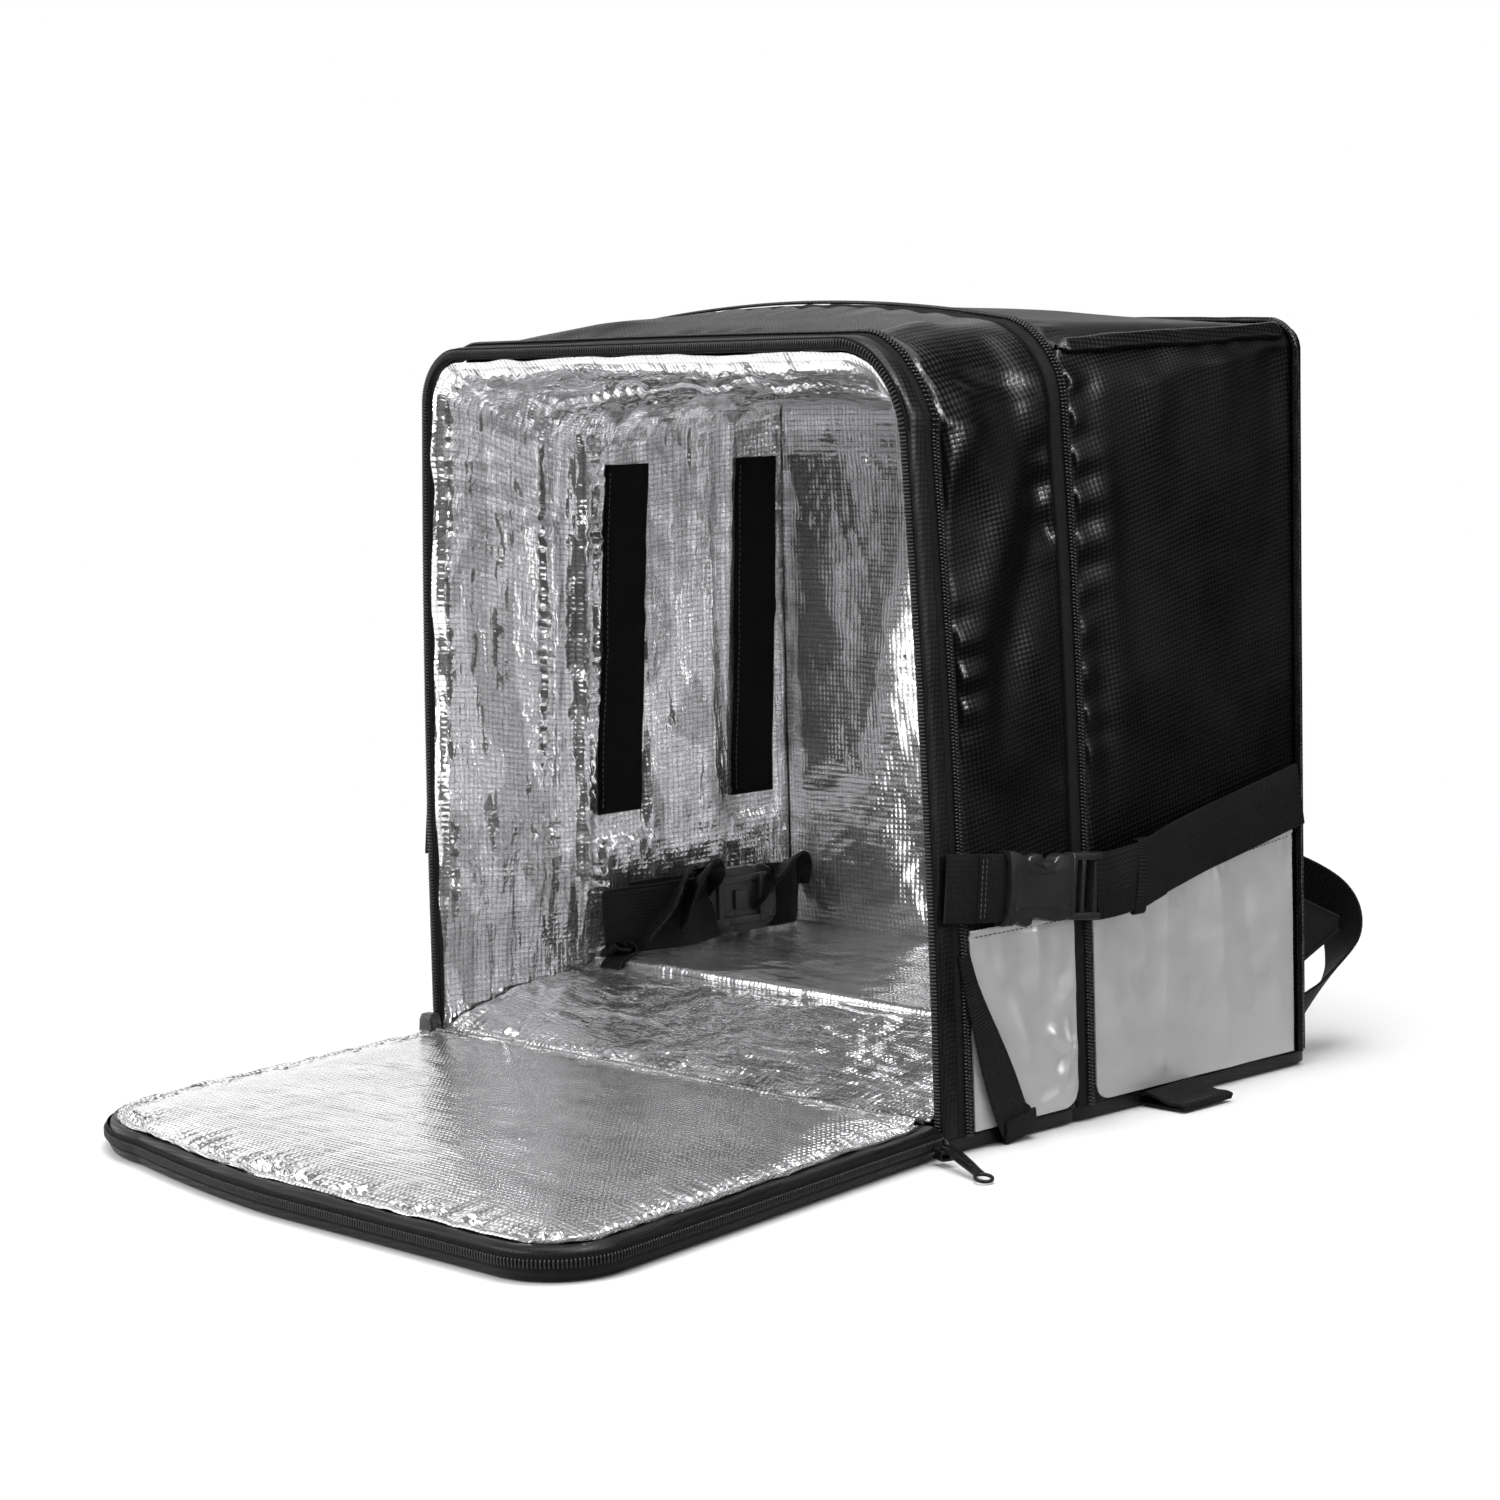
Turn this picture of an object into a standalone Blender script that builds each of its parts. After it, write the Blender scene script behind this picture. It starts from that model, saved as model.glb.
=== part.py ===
"""An insulated delivery backpack, open at the front with its zipped door laid down on the floor.

Metres, +Z up. The opening faces -Y, the back panel +Y. The origin is on the floor under the middle of the
bag's base. A depth is counted from the plane of the opening towards the back, and y_at turns it into Y.
"""

import math

import bmesh
import bpy
from mathutils import Matrix, Vector

# Driving dimensions of the bag's body
WIDTH = 0.457
HEIGHT = 0.459
DEPTH = 0.3305
RING_DEPTH = 0.024
GUSSET_DEPTH = 0.0896
SEAM_BAND_DEPTH = 0.0159
WALL = 0.008
BACK_THICKNESS = 0.009
BASE_THICKNESS = 0.009
LINING = 0.0018
GAP = 0.0004
CURVED_GAP = 0.0007
CROWN = 0.020

# The form of the body at five depths: shares of the depth, width, crown and height
STATIONS = (
    # depth, left_lean, right_lean, crown, left_bend, right_bend
    (0.000, 0.033, 0.042, 0.00, 0.076, 0.120),
    (0.073, 0.033, 0.042, 0.10, 0.076, 0.118),
    (0.200, 0.031, 0.036, 0.72, 0.083, 0.108),
    (0.380, 0.026, 0.028, 1.00, 0.083, 0.092),
    (0.700, 0.012, 0.006, 0.85, 0.056, 0.056),
    (1.000, 0.004, -0.004, 0.15, 0.033, 0.033),
)

# Soft folds of the outer cloth: place runs from the left foot (0) over the top to the right foot (1)
FOLD_HEIGHT = 0.0045
FOLDS = (
    # place, depth, length, breadth, height, slant
    (0.740, 0.20, 0.030, 0.070, -0.90, 0.10),
    (0.808, 0.15, 0.040, 0.050, 0.80, 0.12),
    (0.852, 0.24, 0.045, 0.045, -0.80, -0.10),
    (0.884, 0.14, 0.030, 0.050, 0.70, 0.00),
    (0.787, 0.44, 0.040, 0.030, -0.80, 0.00),
    (0.840, 0.46, 0.045, 0.035, 0.90, 0.02),
    (0.880, 0.45, 0.028, 0.030, -0.60, 0.00),
    (0.808, 0.60, 0.024, 0.040, 0.50, 0.00),
    (0.793, 0.78, 0.025, 0.040, 0.60, 0.00),
    (0.800, 0.92, 0.030, 0.040, -0.50, 0.00),
    (0.267, 0.20, 0.050, 0.060, -0.70, -0.10),
    (0.160, 0.17, 0.040, 0.050, 0.70, 0.08),
    (0.110, 0.25, 0.030, 0.050, -0.60, -0.06),
    (0.440, 0.20, 0.040, 0.060, 0.70, 0.08),
    (0.520, 0.22, 0.050, 0.050, -0.60, 0.00),
    (0.600, 0.17, 0.035, 0.060, 0.60, -0.08),
)

# Crumples of the reflective bands: place runs across a band, rise up it, both from 0 to 1
CRUMPLE_HEIGHT = 0.0028
CRUMPLES = (
    # across, rise, breadth, length, height, slant
    (0.20, 0.75, 0.10, 0.30, 1.00, 0.10),
    (0.45, 0.40, 0.09, 0.35, 0.80, -0.15),
    (0.80, 0.55, 0.10, 0.22, 1.00, 0.20),
    (0.86, 0.30, 0.12, 0.12, 0.90, 0.00),
    (0.60, 0.85, 0.12, 0.16, 0.60, 0.00),
)

# Foil lining: how far its ceiling hangs down, its raised floor, and the waves along its walls
CEILING_FRONT = 0.003
CEILING_BACK = 0.036
FLOOR_HEIGHT = 0.048
FLOOR_RIPPLE = 0.0018
GUSSET_FLOOR_FRONT = 0.020
HEM_RADIUS = 0.0035
WAVE_HEIGHT = 0.006
WAVES = (
    # depth, breadth, height, drift
    (0.12, 0.050, 0.55, 0.05),
    (0.26, 0.030, 0.80, -0.04),
    (0.39, 0.045, -0.30, 0.00),
    (0.43, 0.030, 1.00, 0.02),
    (0.62, 0.060, 0.35, 0.03),
    (0.74, 0.045, 0.70, -0.03),
    (0.90, 0.030, 0.45, 0.00),
)

# Door: a padded panel hinged on cloth, skewed a little to the right as it lies
DOOR_LENGTH = 0.330
DOOR_FLARE = 0.008
DOOR_SKEW = 0.046
DOOR_SLANT = 0.022
DOOR_LEFT_BEND = 0.075
DOOR_RIGHT_BEND = 0.050
DOOR_SIDE = 0.017
DOOR_PILLOW = 0.009
DOOR_MARGIN = 0.007
HINGE_START = 0.002
HINGE_WIDTH = 0.012

# Zips
TEETH_WIDTH = 0.005
TEETH_HEIGHT = 0.0022
FRONT_TEETH_DEPTH = 0.019
REAR_TEETH_DEPTH = 0.124
STOP_SIZE = (0.014, 0.010, 0.012)
STOP_INSET = 0.006
STOP_ROUNDING = 0.0025
SLIDER_LENGTH = 0.013
SLIDER_WIDTH = 0.0095
SLIDER_THICKNESS = 0.006
BRIDGE_WIDTH = 0.0018
BRIDGE_BAR = 0.0012
EYE_LENGTH = 0.0046
EYE_HEIGHT = 0.0046
SLIDER_BACK = 0.002
PULLER_LENGTH = 0.050
PULLER_WIDTH = 0.0080
PULLER_THICKNESS = 0.0016
PULLER_EYE = 0.0026
PULLER_TURN = math.radians(-19)
PIVOT_OUT = 0.0147
PIVOT_FORWARD = 0.0145
PIVOT_HEIGHT = 0.0117

# Webbing and buckles at the sides
WEBBING = 0.039
WEBBING_THICKNESS = 0.0018
BELT_HEIGHT = 0.148
BELT_RISE = 0.024
BELT_START = 0.003
BELT_BULGE = 0.008
BELT_TILT = math.radians(6)
BUCKLE_HEIGHT = 0.043
BUCKLE_THICKNESS = 0.012
BUCKLE_START = 0.042
FEMALE_LENGTH = 0.056
MALE_LENGTH = 0.034
BUCKLE_WALL = 0.0025
BUCKLE_ROUNDING = 0.002
WINDOW_LENGTH = 0.020
WINDOW_HEIGHT = 0.012
PRONG_LENGTH = 0.030
PRONG_HEIGHT = 0.006
PRONG_OFFSET = 0.0115
SLOT_WIDTH = 0.004
BAND_TOP = 0.125
BAND_RISE = 0.021
BAND_STEP = 0.004
BAND_THICKNESS = 0.0008
CORNER_WEBBING = 0.025
KEEPER_THICKNESS = 0.0022
KEEPER_WIDTH = 0.010
KEEPER_OVERHANG = 0.004
KEEPER_PLACE = 0.020
CORNER_STRAP_ROUTE = (
    # up and depth, as shares of the gusset band's height and of the gusset's depth
    (0.80, 0.09),
    (0.56, 0.20),
    (0.32, 0.31),
    (0.13, 0.40),
)
BASE_TAB_WIDTH = 0.045
BASE_TAB_REACH = 0.034
BASE_TAB_PLACE = 0.32
BASE_INSET = 0.001
BASE_ROUNDING = 0.0025

# Inside of the left wall
HOOK_WIDTH = 0.0385
HOOK_LENGTH = 0.235
HOOK_TOP = 0.378
HOOK_DEPTHS = (0.168, 0.293)
HOOK_DRIFT = 0.011
HOOK_THICKNESS = 0.0014
HOOK_MARGIN = 0.020
BUNDLE_LENGTH = 0.155
BUNDLE_BACK = 0.0139
BUNDLE_BUCKLE_SHARE = 0.42
BUNDLE_HEIGHT = 0.052
BUNDLE_THICKNESS = 0.016
BUNDLE_ROUNDING = 0.004
INNER_BUCKLE_LENGTH = 0.062

# Shoulder straps on the back
STRAP_WIDTH = 0.065
STRAP_THICKNESS = 0.010
STRAP_REACH = 0.043
STRAP_ROUTE = (
    # across and up as shares of the bag's width and height, out as a share of the reach
    (0.164, 0.00, 0.926),
    (0.166, 0.08, 0.871),
    (0.179, 0.67, 0.763),
    (0.208, 1.00, 0.610),
    (0.245, 0.95, 0.447),
    (0.276, 0.81, 0.327),
)
TAIL_REACH = 0.075
TAIL_ROUTE = (
    (0.330, 0.79, 0.240),
    (0.416, 1.00, 0.192),
    (0.451, 0.87, 0.131),
    (0.455, 0.42, 0.074),
    (0.449, 0.00, 0.044),
)
WEBBING_TILT = 0.0028
ANCHOR_LOW = 0.058
ANCHOR_HIGH = 0.107
ANCHOR_REACH = 0.030
ANCHOR_THICKNESS = 0.003
ANCHOR_INSET = 0.010
LADDER_WIDTH = 0.048
LADDER_HEIGHT = 0.030
LADDER_THICKNESS = 0.006
LADDER_BAR = 0.005
LADDER_BACK = 0.002
PIPING_RADIUS = 0.0022
WELT_RADIUS = 0.0035

# Worked out from the above
GUSSET_END = RING_DEPTH + GUSSET_DEPTH
MAIN_START = GUSSET_END + SEAM_BAND_DEPTH
MAIN_END = DEPTH - BACK_THICKNESS
FOOT = BASE_THICKNESS + GAP
LINING_LIFT = -(WALL + GAP)
LINING_END = MAIN_END - LINING - 2 * GAP
PIVOT = Vector((WIDTH / 2 + PIVOT_OUT, -DEPTH / 2 - PIVOT_FORWARD, PIVOT_HEIGHT))

# Where the outline's sides, bends and top begin, as shares along it
SIDE_SHARE = 0.2
BEND_SHARE = 0.2
OUTLINE_STEPS = 30
LEFT_SEAM = SIDE_SHARE + BEND_SHARE / 2
RIGHT_SEAM = 1 - LEFT_SEAM
SEAM_SHARE = 0.0012

COLOURS = {
    # red, green, blue, roughness, metallic
    "tarpaulin": (0.012, 0.012, 0.013, 0.35, 0.0),
    "webbing": (0.015, 0.015, 0.016, 0.75, 0.0),
    "foil": (0.72, 0.73, 0.74, 0.28, 0.9),
    "reflective": (0.50, 0.51, 0.52, 0.42, 0.25),
    "plastic": (0.022, 0.022, 0.024, 0.40, 0.0),
    "zip_tape": (0.010, 0.010, 0.011, 0.80, 0.0),
    "zip_metal": (0.030, 0.030, 0.032, 0.35, 0.8),
    "hook_tape": (0.006, 0.006, 0.006, 0.95, 0.0),
}


def clear_scene():
    for obj in list(bpy.data.objects):
        bpy.data.objects.remove(obj)


def make_materials():
    made = {}
    for name, (red, green, blue, roughness, metallic) in COLOURS.items():
        material = bpy.data.materials.new(name)
        material.use_nodes = True
        shader = material.node_tree.nodes["Principled BSDF"]
        shader.inputs["Base Color"].default_value = (red, green, blue, 1.0)
        shader.inputs["Roughness"].default_value = roughness
        shader.inputs["Metallic"].default_value = metallic
        made[name] = material
    return made


def add_object(name, material, bm):
    """Turns a bmesh into a smooth shaded object of the bag's collection."""
    bmesh.ops.recalc_face_normals(bm, faces=bm.faces)
    if bm.calc_volume(signed=True) < 0:
        bmesh.ops.reverse_faces(bm, faces=bm.faces)
    mesh = bpy.data.meshes.new(name)
    bm.to_mesh(mesh)
    bm.free()
    mesh.shade_smooth()
    mesh.set_sharp_from_angle(angle=math.radians(40))
    mesh.materials.append(materials[material])
    obj = bpy.data.objects.new(name, mesh)
    bag.objects.link(obj)
    return obj


def y_at(depth):
    return depth - DEPTH / 2


def mix(a, b, share):
    return a + (b - a) * share


def between(table, place):
    """The table's row at this place, with straight runs between its rows."""
    place = min(max(place, table[0][0]), table[-1][0])
    for low, high in zip(table, table[1:]):
        if place <= high[0]:
            share = (place - low[0]) / (high[0] - low[0])
            return [mix(a, b, share) for a, b in zip(low[1:], high[1:])]
    return list(table[-1][1:])


def bump(distance, reach):
    return math.exp(-((distance / reach) ** 2))


def fold(place, depth):
    """How far the outer cloth stands out or dips here."""
    share = depth / DEPTH
    total = 0.0
    for centre, middle, length, breadth, height, slant in FOLDS:
        across = share - middle - slant * (place - centre) / length
        total += height * bump(place - centre, length) * bump(across, breadth)
    return FOLD_HEIGHT * max(-1.0, min(1.0, total))


def outline(place, depth, lift):
    """A point of the plain outline at this place and depth, moved out by lift, and its outward direction."""
    left_lean, right_lean, crown, left_bend, right_bend = between(STATIONS, depth / DEPTH)
    right = place > 0.5
    turn = 1 if right else -1
    along = 1 - place if right else place
    half = WIDTH / 2
    radius = HEIGHT * (right_bend if right else left_bend)
    rise = HEIGHT - radius
    if along <= SIDE_SHARE:
        x, z = half, mix(FOOT, rise, along / SIDE_SHARE)
        normal = Vector((1, 0, 0))
    elif along <= SIDE_SHARE + BEND_SHARE:
        angle = math.pi / 2 * (along - SIDE_SHARE) / BEND_SHARE
        normal = Vector((math.cos(angle), 0, math.sin(angle)))
        x = half - radius + radius * normal.x
        z = rise + radius * normal.z
    else:
        share = (along - SIDE_SHARE - BEND_SHARE) / (0.5 - SIDE_SHARE - BEND_SHARE)
        x, z = mix(half - radius, 0, share), HEIGHT
        normal = Vector((0, 0, 1))
    lean = WIDTH * (right_lean if right else left_lean)
    height_share = z / HEIGHT
    across = x / half
    x += normal.x * lift
    z += normal.z * lift
    x -= across * lean * height_share**2
    z += CROWN * crown * (1 - across**2) * height_share**8
    return Vector((turn * x, y_at(depth), z)), Vector((turn * normal.x, 0, normal.z))


def cloth(place, depth, lift=0.0):
    """A point on the folded outer cloth."""
    point, normal = outline(place, depth, lift)
    return point + normal * fold(place, depth)


def wave(place, depth, foot_fade=True):
    """How far the foil stands inwards here; the foil lies flat where it meets the floor."""
    share = depth / DEPTH
    total = 0.0
    for middle, breadth, height, drift in WAVES:
        total += height * bump(share - middle - drift * math.sin(9 * place), breadth)
    along = min(place, 1 - place)
    fade = min(1.0, max(0.0, (along - 0.028) / 0.04))
    for middle in HOOK_DEPTHS:
        away = abs(depth - middle) - HOOK_WIDTH / 2 - HOOK_DRIFT
        fade *= min(1.0, max(0.0, away / HOOK_MARGIN))
    edge = min(1.0, depth / RING_DEPTH, (DEPTH - depth) / RING_DEPTH)
    return WAVE_HEIGHT * max(0.0, total) * fade * edge


def ceiling_drop(depth):
    share = min(1.0, depth / MAIN_START)
    return mix(CEILING_FRONT, CEILING_BACK, share * share * (3 - 2 * share))


def foil(place, depth, lift):
    """A point on the foil lining, which hangs lower than the outer top."""
    point, normal = outline(place, depth, LINING_LIFT + lift)
    point -= normal * wave(place, depth)
    lowered = (HEIGHT - ceiling_drop(depth)) / HEIGHT
    point.z = FOOT + (point.z - FOOT) * lowered
    return point


def grid_solid(name, material, front, back, columns, rows):
    """A closed solid between two surfaces, each a function of two shares from 0 to 1."""
    bm = bmesh.new()
    bmesh.ops.create_grid(bm, x_segments=columns, y_segments=rows, size=0.5)
    made = bmesh.ops.extrude_face_region(bm, geom=bm.faces[:])
    lifted = {item for item in made["geom"] if isinstance(item, bmesh.types.BMVert)}
    for vert in bm.verts:
        surface = front if vert in lifted else back
        vert.co = surface(vert.co.x + 0.5, vert.co.y + 0.5)
    return add_object(name, material, bm)


def box_mesh(size, centre=(0, 0, 0)):
    bm = bmesh.new()
    bmesh.ops.create_cube(bm, size=1, matrix=Matrix.Translation(centre) @ Matrix.Diagonal((*size, 1)))
    return bm


def add_box(name, material, size, place, bevel=0.0, segments=2):
    obj = add_object(name, material, box_mesh(size))
    obj.matrix_world = place
    if bevel:
        modifier = obj.modifiers.new("Edges", "BEVEL")
        modifier.width = bevel
        modifier.segments = segments
    return obj


def add_cutter(obj, name, size, centre):
    """Cuts a box, given in the object's own frame, out of it."""
    cutter = bpy.data.objects.new(f"{obj.name}_{name}", bpy.data.meshes.new(name))
    bm = box_mesh(size, centre)
    bm.to_mesh(cutter.data)
    bm.free()
    cutter.matrix_world = obj.matrix_world
    cutter.hide_render = True
    cutter.display_type = "WIRE"
    cutters.objects.link(cutter)
    modifier = obj.modifiers.new(name, "BOOLEAN")
    modifier.operation = "DIFFERENCE"
    modifier.object = cutter
    return cutter


def add_union(obj, name, size, centre):
    """Joins a box, given in the object's own frame, to it."""
    cutter = add_cutter(obj, name, size, centre)
    obj.modifiers[-1].operation = "UNION"
    return cutter


def add_tube(name, material, points, radius, roundness=1):
    curve = bpy.data.curves.new(name, "CURVE")
    curve.dimensions = "3D"
    curve.bevel_depth = radius
    curve.bevel_resolution = roundness
    curve.use_fill_caps = True
    spline = curve.splines.new("POLY")
    spline.points.add(len(points) - 1)
    for point, place in zip(spline.points, points):
        point.co = (*place, 1)
    curve.materials.append(materials[material])
    obj = bpy.data.objects.new(name, curve)
    bag.objects.link(obj)
    return obj


def smooth_route(points, share):
    """A point of the smooth curve through these points."""
    spans = len(points) - 1
    index = min(int(share * spans), spans - 1)
    t = share * spans - index
    before = points[max(index - 1, 0)]
    start = points[index]
    end = points[index + 1]
    after = points[min(index + 2, spans)]
    return 0.5 * (
        2 * start
        + (end - before) * t
        + (2 * before - 5 * start + 4 * end - after) * t * t
        + (3 * start - before - 3 * end + after) * t**3
    )


def add_webbing(name, material, route, across, width, thickness, rows, last_across=None):
    """A flat strap along a route; its width points along across, and may turn to last_across at its end."""
    points = [Vector(point) for point in route]
    step = 1e-3
    final = last_across or across

    def surface(side):
        def place(u, v):
            here = smooth_route(points, v)
            ahead = smooth_route(points, min(v + step, 1)) - smooth_route(points, max(v - step, 0))
            turned = across.lerp(final, v).normalized()
            normal = ahead.cross(turned).normalized()
            return here + turned * ((u - 0.5) * width) + normal * (side * thickness / 2)

        return place

    return grid_solid(name, material, surface(1), surface(-1), 1, rows)


def shell(name, material, places, depths, columns, rows):
    """A padded panel of the outer shell, folded outside and plain inside."""

    def outside(u, v):
        return cloth(mix(*places, u), mix(*depths, v))

    def inside(u, v):
        return outline(mix(*places, u), mix(*depths, v), -WALL)[0]

    return grid_solid(name, material, outside, inside, columns, rows)


def make_shell():
    whole = (0.0, 1.0)
    shell("front_ring", "tarpaulin", whole, (0, RING_DEPTH - GAP), OUTLINE_STEPS, 1)
    shell("expansion_gusset", "tarpaulin", whole, (RING_DEPTH, GUSSET_END - GAP), 2 * OUTLINE_STEPS, 4)
    shell("seam_band", "zip_tape", whole, (GUSSET_END, MAIN_START - GAP), OUTLINE_STEPS, 1)
    depths = (MAIN_START, MAIN_END - GAP)
    shell("main_left", "tarpaulin", (0, LEFT_SEAM - SEAM_SHARE), depths, 12, 4)
    shell("main_top", "tarpaulin", (LEFT_SEAM + SEAM_SHARE, RIGHT_SEAM - SEAM_SHARE), depths, 14, 4)
    shell("main_right", "tarpaulin", (RIGHT_SEAM + SEAM_SHARE, 1), depths, 20, 8)


def make_base():
    for name, start, end in (("base_front", 0, GUSSET_END - GAP), ("base_main", GUSSET_END, DEPTH)):
        size = (WIDTH - 2 * BASE_INSET, end - start, BASE_THICKNESS)
        place = Matrix.Translation((0, y_at((start + end) / 2), BASE_THICKNESS / 2))
        add_box(name, "tarpaulin", size, place, bevel=BASE_ROUNDING, segments=1)


def make_back():
    """The back panel has the bag's own outline at the back."""
    bm = bmesh.new()
    places = [i / OUTLINE_STEPS for i in range(OUTLINE_STEPS + 1)]
    edge = [bm.verts.new(outline(place, DEPTH, 0)[0]) for place in places]
    face = bm.faces.new(edge)
    made = bmesh.ops.extrude_face_region(bm, geom=[face])
    for item in made["geom"]:
        if isinstance(item, bmesh.types.BMVert):
            item.co.y -= BACK_THICKNESS
    add_object("back_panel", "tarpaulin", bm)


def make_piping():
    lift = PIPING_RADIUS + CURVED_GAP
    depth = MAIN_END
    points = [outline(i / OUTLINE_STEPS, depth, lift)[0] for i in range(OUTLINE_STEPS + 1)]
    add_tube("back_piping", "tarpaulin", points, PIPING_RADIUS, roundness=0)
    for name, seam in (("welt_left", LEFT_SEAM), ("welt_right", RIGHT_SEAM)):
        start, end = MAIN_START + WELT_RADIUS, MAIN_END - 3 * PIPING_RADIUS
        lift = WELT_RADIUS + CURVED_GAP
        points = [outline(seam, mix(start, end, i / 10), lift)[0] for i in range(11)]
        add_tube(name, "tarpaulin", points, WELT_RADIUS)


def foil_panel(name, places, depths, columns, rows):
    def outside(u, v):
        return foil(mix(*places, u), mix(*depths, v), 0)

    def inside(u, v):
        return foil(mix(*places, u), mix(*depths, v), -LINING)

    return grid_solid(name, "foil", outside, inside, columns, rows)


def make_lining():
    depths = (0.002, LINING_END)
    foil_panel("lining_left", (0, LEFT_SEAM - 3 * SEAM_SHARE), depths, 12, 16)
    foil_panel("lining_top", (LEFT_SEAM + SEAM_SHARE, RIGHT_SEAM - SEAM_SHARE), depths, 12, 9)
    foil_panel("lining_right", (RIGHT_SEAM + SEAM_SHARE, 1), depths, 10, 9)


def foil_half(depth, z, turn):
    """Inner face of the lining's side wall near the floor."""
    place = SIDE_SHARE * (z - FOOT) / (HEIGHT - FOOT)
    return abs(foil(1 - place if turn > 0 else place, depth, -LINING).x)


def make_lining_back():
    depth = MAIN_END - 2 * GAP

    def sheet(offset):
        def place(u, v):
            z = mix(FOOT + GAP, HEIGHT - WALL - 0.012, v)
            edge = outline(0.75 + 0.25 * (1 - v * 0.86), DEPTH, LINING_LIFT - 0.012)[0].x
            return Vector((mix(-edge, edge, u), y_at(depth - offset), z))

        return place

    grid_solid("lining_back", "foil", sheet(0), sheet(LINING), 2, 5)


def make_floor():
    """The padded floor of the main part, its rounded front hem, and the slack foil in front of it."""
    start = MAIN_START + 2 * HEM_RADIUS + GAP
    end = LINING_END - GAP
    margin = 0.001

    def top(u, v):
        depth = mix(start, end, v)
        left = margin - foil_half(depth, FLOOR_HEIGHT, -1)
        right = foil_half(depth, FLOOR_HEIGHT, 1) - margin
        flat = min(1.0, max(0.0, 6 * (u - 0.2)))
        ripple = FLOOR_RIPPLE * math.sin(7 * u + 4 * v) * math.sin(math.pi * u) * flat
        return Vector((mix(left, right, u), y_at(depth), FLOOR_HEIGHT + ripple))

    def bottom(u, v):
        place = top(u, v)
        place.z = FOOT
        return place

    grid_solid("floor_pad", "foil", top, bottom, 8, 4)
    hem_depth = MAIN_START + HEM_RADIUS
    reach = foil_half(hem_depth, FLOOR_HEIGHT, 1) - 2 * margin
    hem_height = FLOOR_HEIGHT - HEM_RADIUS
    ends = [(side * reach, y_at(hem_depth), hem_height) for side in (-1, 1)]
    add_tube("floor_hem", "foil", ends, HEM_RADIUS)

    first, last = 0.001, MAIN_START - GAP

    def slack(offset):
        def place(u, v):
            depth = mix(first, last, v)
            left = margin - foil_half(depth, FLOOR_HEIGHT, -1)
            right = foil_half(depth, FLOOR_HEIGHT, 1) - margin
            low = mix(GUSSET_FLOOR_FRONT, hem_height, v**0.8)
            ripple = 0.003 * math.sin(math.pi * v) * math.sin(11 * u + 3 * v)
            return Vector((mix(left, right, u), y_at(depth), low + ripple - offset))

        return place

    grid_solid("lining_floor", "foil", slack(0), slack(LINING), 12, 6)


def door_place(u, v, inset=0.0):
    """A place on the door: u from its left to its right edge, v from the hinge to the free edge."""
    side = 1 if u > 0.5 else -1
    bend = DOOR_RIGHT_BEND if side > 0 else DOOR_LEFT_BEND
    bend = max(bend - inset, 0.01)
    half = WIDTH / 2 - inset
    length = DOOR_LENGTH - inset
    reach = v * length
    into = max(0.0, reach - (length - bend)) / bend
    pulled = bend * (1 - math.sqrt(max(0.0, 1 - into * into)))
    across = (2 * u - 1) * (half - pulled)
    share = reach / DOOR_LENGTH
    x = across + across / half * DOOR_FLARE * share + DOOR_SKEW * share
    y = -reach + DOOR_SLANT * share**3 * max(0.0, (0.5 - u) * 2) ** 1.5
    return Vector((x, y_at(y), 0))


def ease(v):
    """Closer steps near the door's free edge, where its corners turn."""
    return math.sin(v * math.pi / 2)


def make_door():
    tuck = 0.0035
    start = (TEETH_HEIGHT + 2 * GAP) / DOOR_LENGTH
    lining_start = (HINGE_START + HINGE_WIDTH + GAP) / DOOR_LENGTH

    def base(v):
        return mix(start, 1, ease(v))

    def shell_bottom(u, v):
        place = door_place(u, base(v), tuck)
        return place

    def shell_top(u, v):
        place = door_place(u, base(v), 0)
        place.z = DOOR_SIDE
        return place

    grid_solid("door_shell", "tarpaulin", shell_top, shell_bottom, 8, 12)

    def lined(u, v):
        return door_place(u, mix(lining_start, 1, ease(v)), DOOR_MARGIN)

    def pillow(u, v):
        place = lined(u, v)
        edge = (1 - (2 * u - 1) ** 6) * (1 - ease(v) ** 8)
        ripple = 0.12 * math.sin(13 * u + 5 * v) * math.sin(9 * v)
        near_hinge = min(1, 0.35 + 4 * v)
        place.z = DOOR_SIDE + GAP + LINING + DOOR_PILLOW * max(0.0, edge * (0.75 + ripple)) * near_hinge
        return place

    def seat(u, v):
        place = lined(u, v)
        place.z = DOOR_SIDE + GAP
        return place

    grid_solid("door_lining", "foil", pillow, seat, 12, 10)

    def rim(lift, low):
        def place(u, v):
            """u runs round the door: down its left side, along the free edge and back up its right side."""
            if u < 0.4:
                spot = door_place(0, mix(start, 1, ease(u / 0.4)))
            elif u <= 0.6:
                spot = door_place((u - 0.4) / 0.2, 1)
            else:
                spot = door_place(1, mix(start, 1, ease((1 - u) / 0.4)))
            middle = door_place(0.5, 0.45)
            outward = (spot - middle).normalized()
            corner = abs(0.5 - u)
            if corner < 0.085:
                outward = Vector((0, -1, 0))
            spot += outward * lift
            spot.z = low + v * TEETH_WIDTH
            return spot

        return place

    low = DOOR_SIDE / 2 - 0.001
    grid_solid("door_zip", "zip_tape", rim(TEETH_HEIGHT + GAP, low), rim(GAP, low), 40, 1)


def make_hinge_seam():
    """The stitched ridge of foil over the door's cloth hinge."""

    def ridge(height):
        def place(u, v):
            x = mix(-1, 1, u) * (WIDTH / 2 - WALL - 0.006)
            depth = -HINGE_START - HINGE_WIDTH * v
            arch = math.sin(math.pi * v) * 0.003 * height
            return Vector((x, y_at(depth), DOOR_SIDE + GAP + arch + 0.0012 * height))

        return place

    grid_solid("hinge_seam", "foil", ridge(1), ridge(0), 10, 3)


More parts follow.
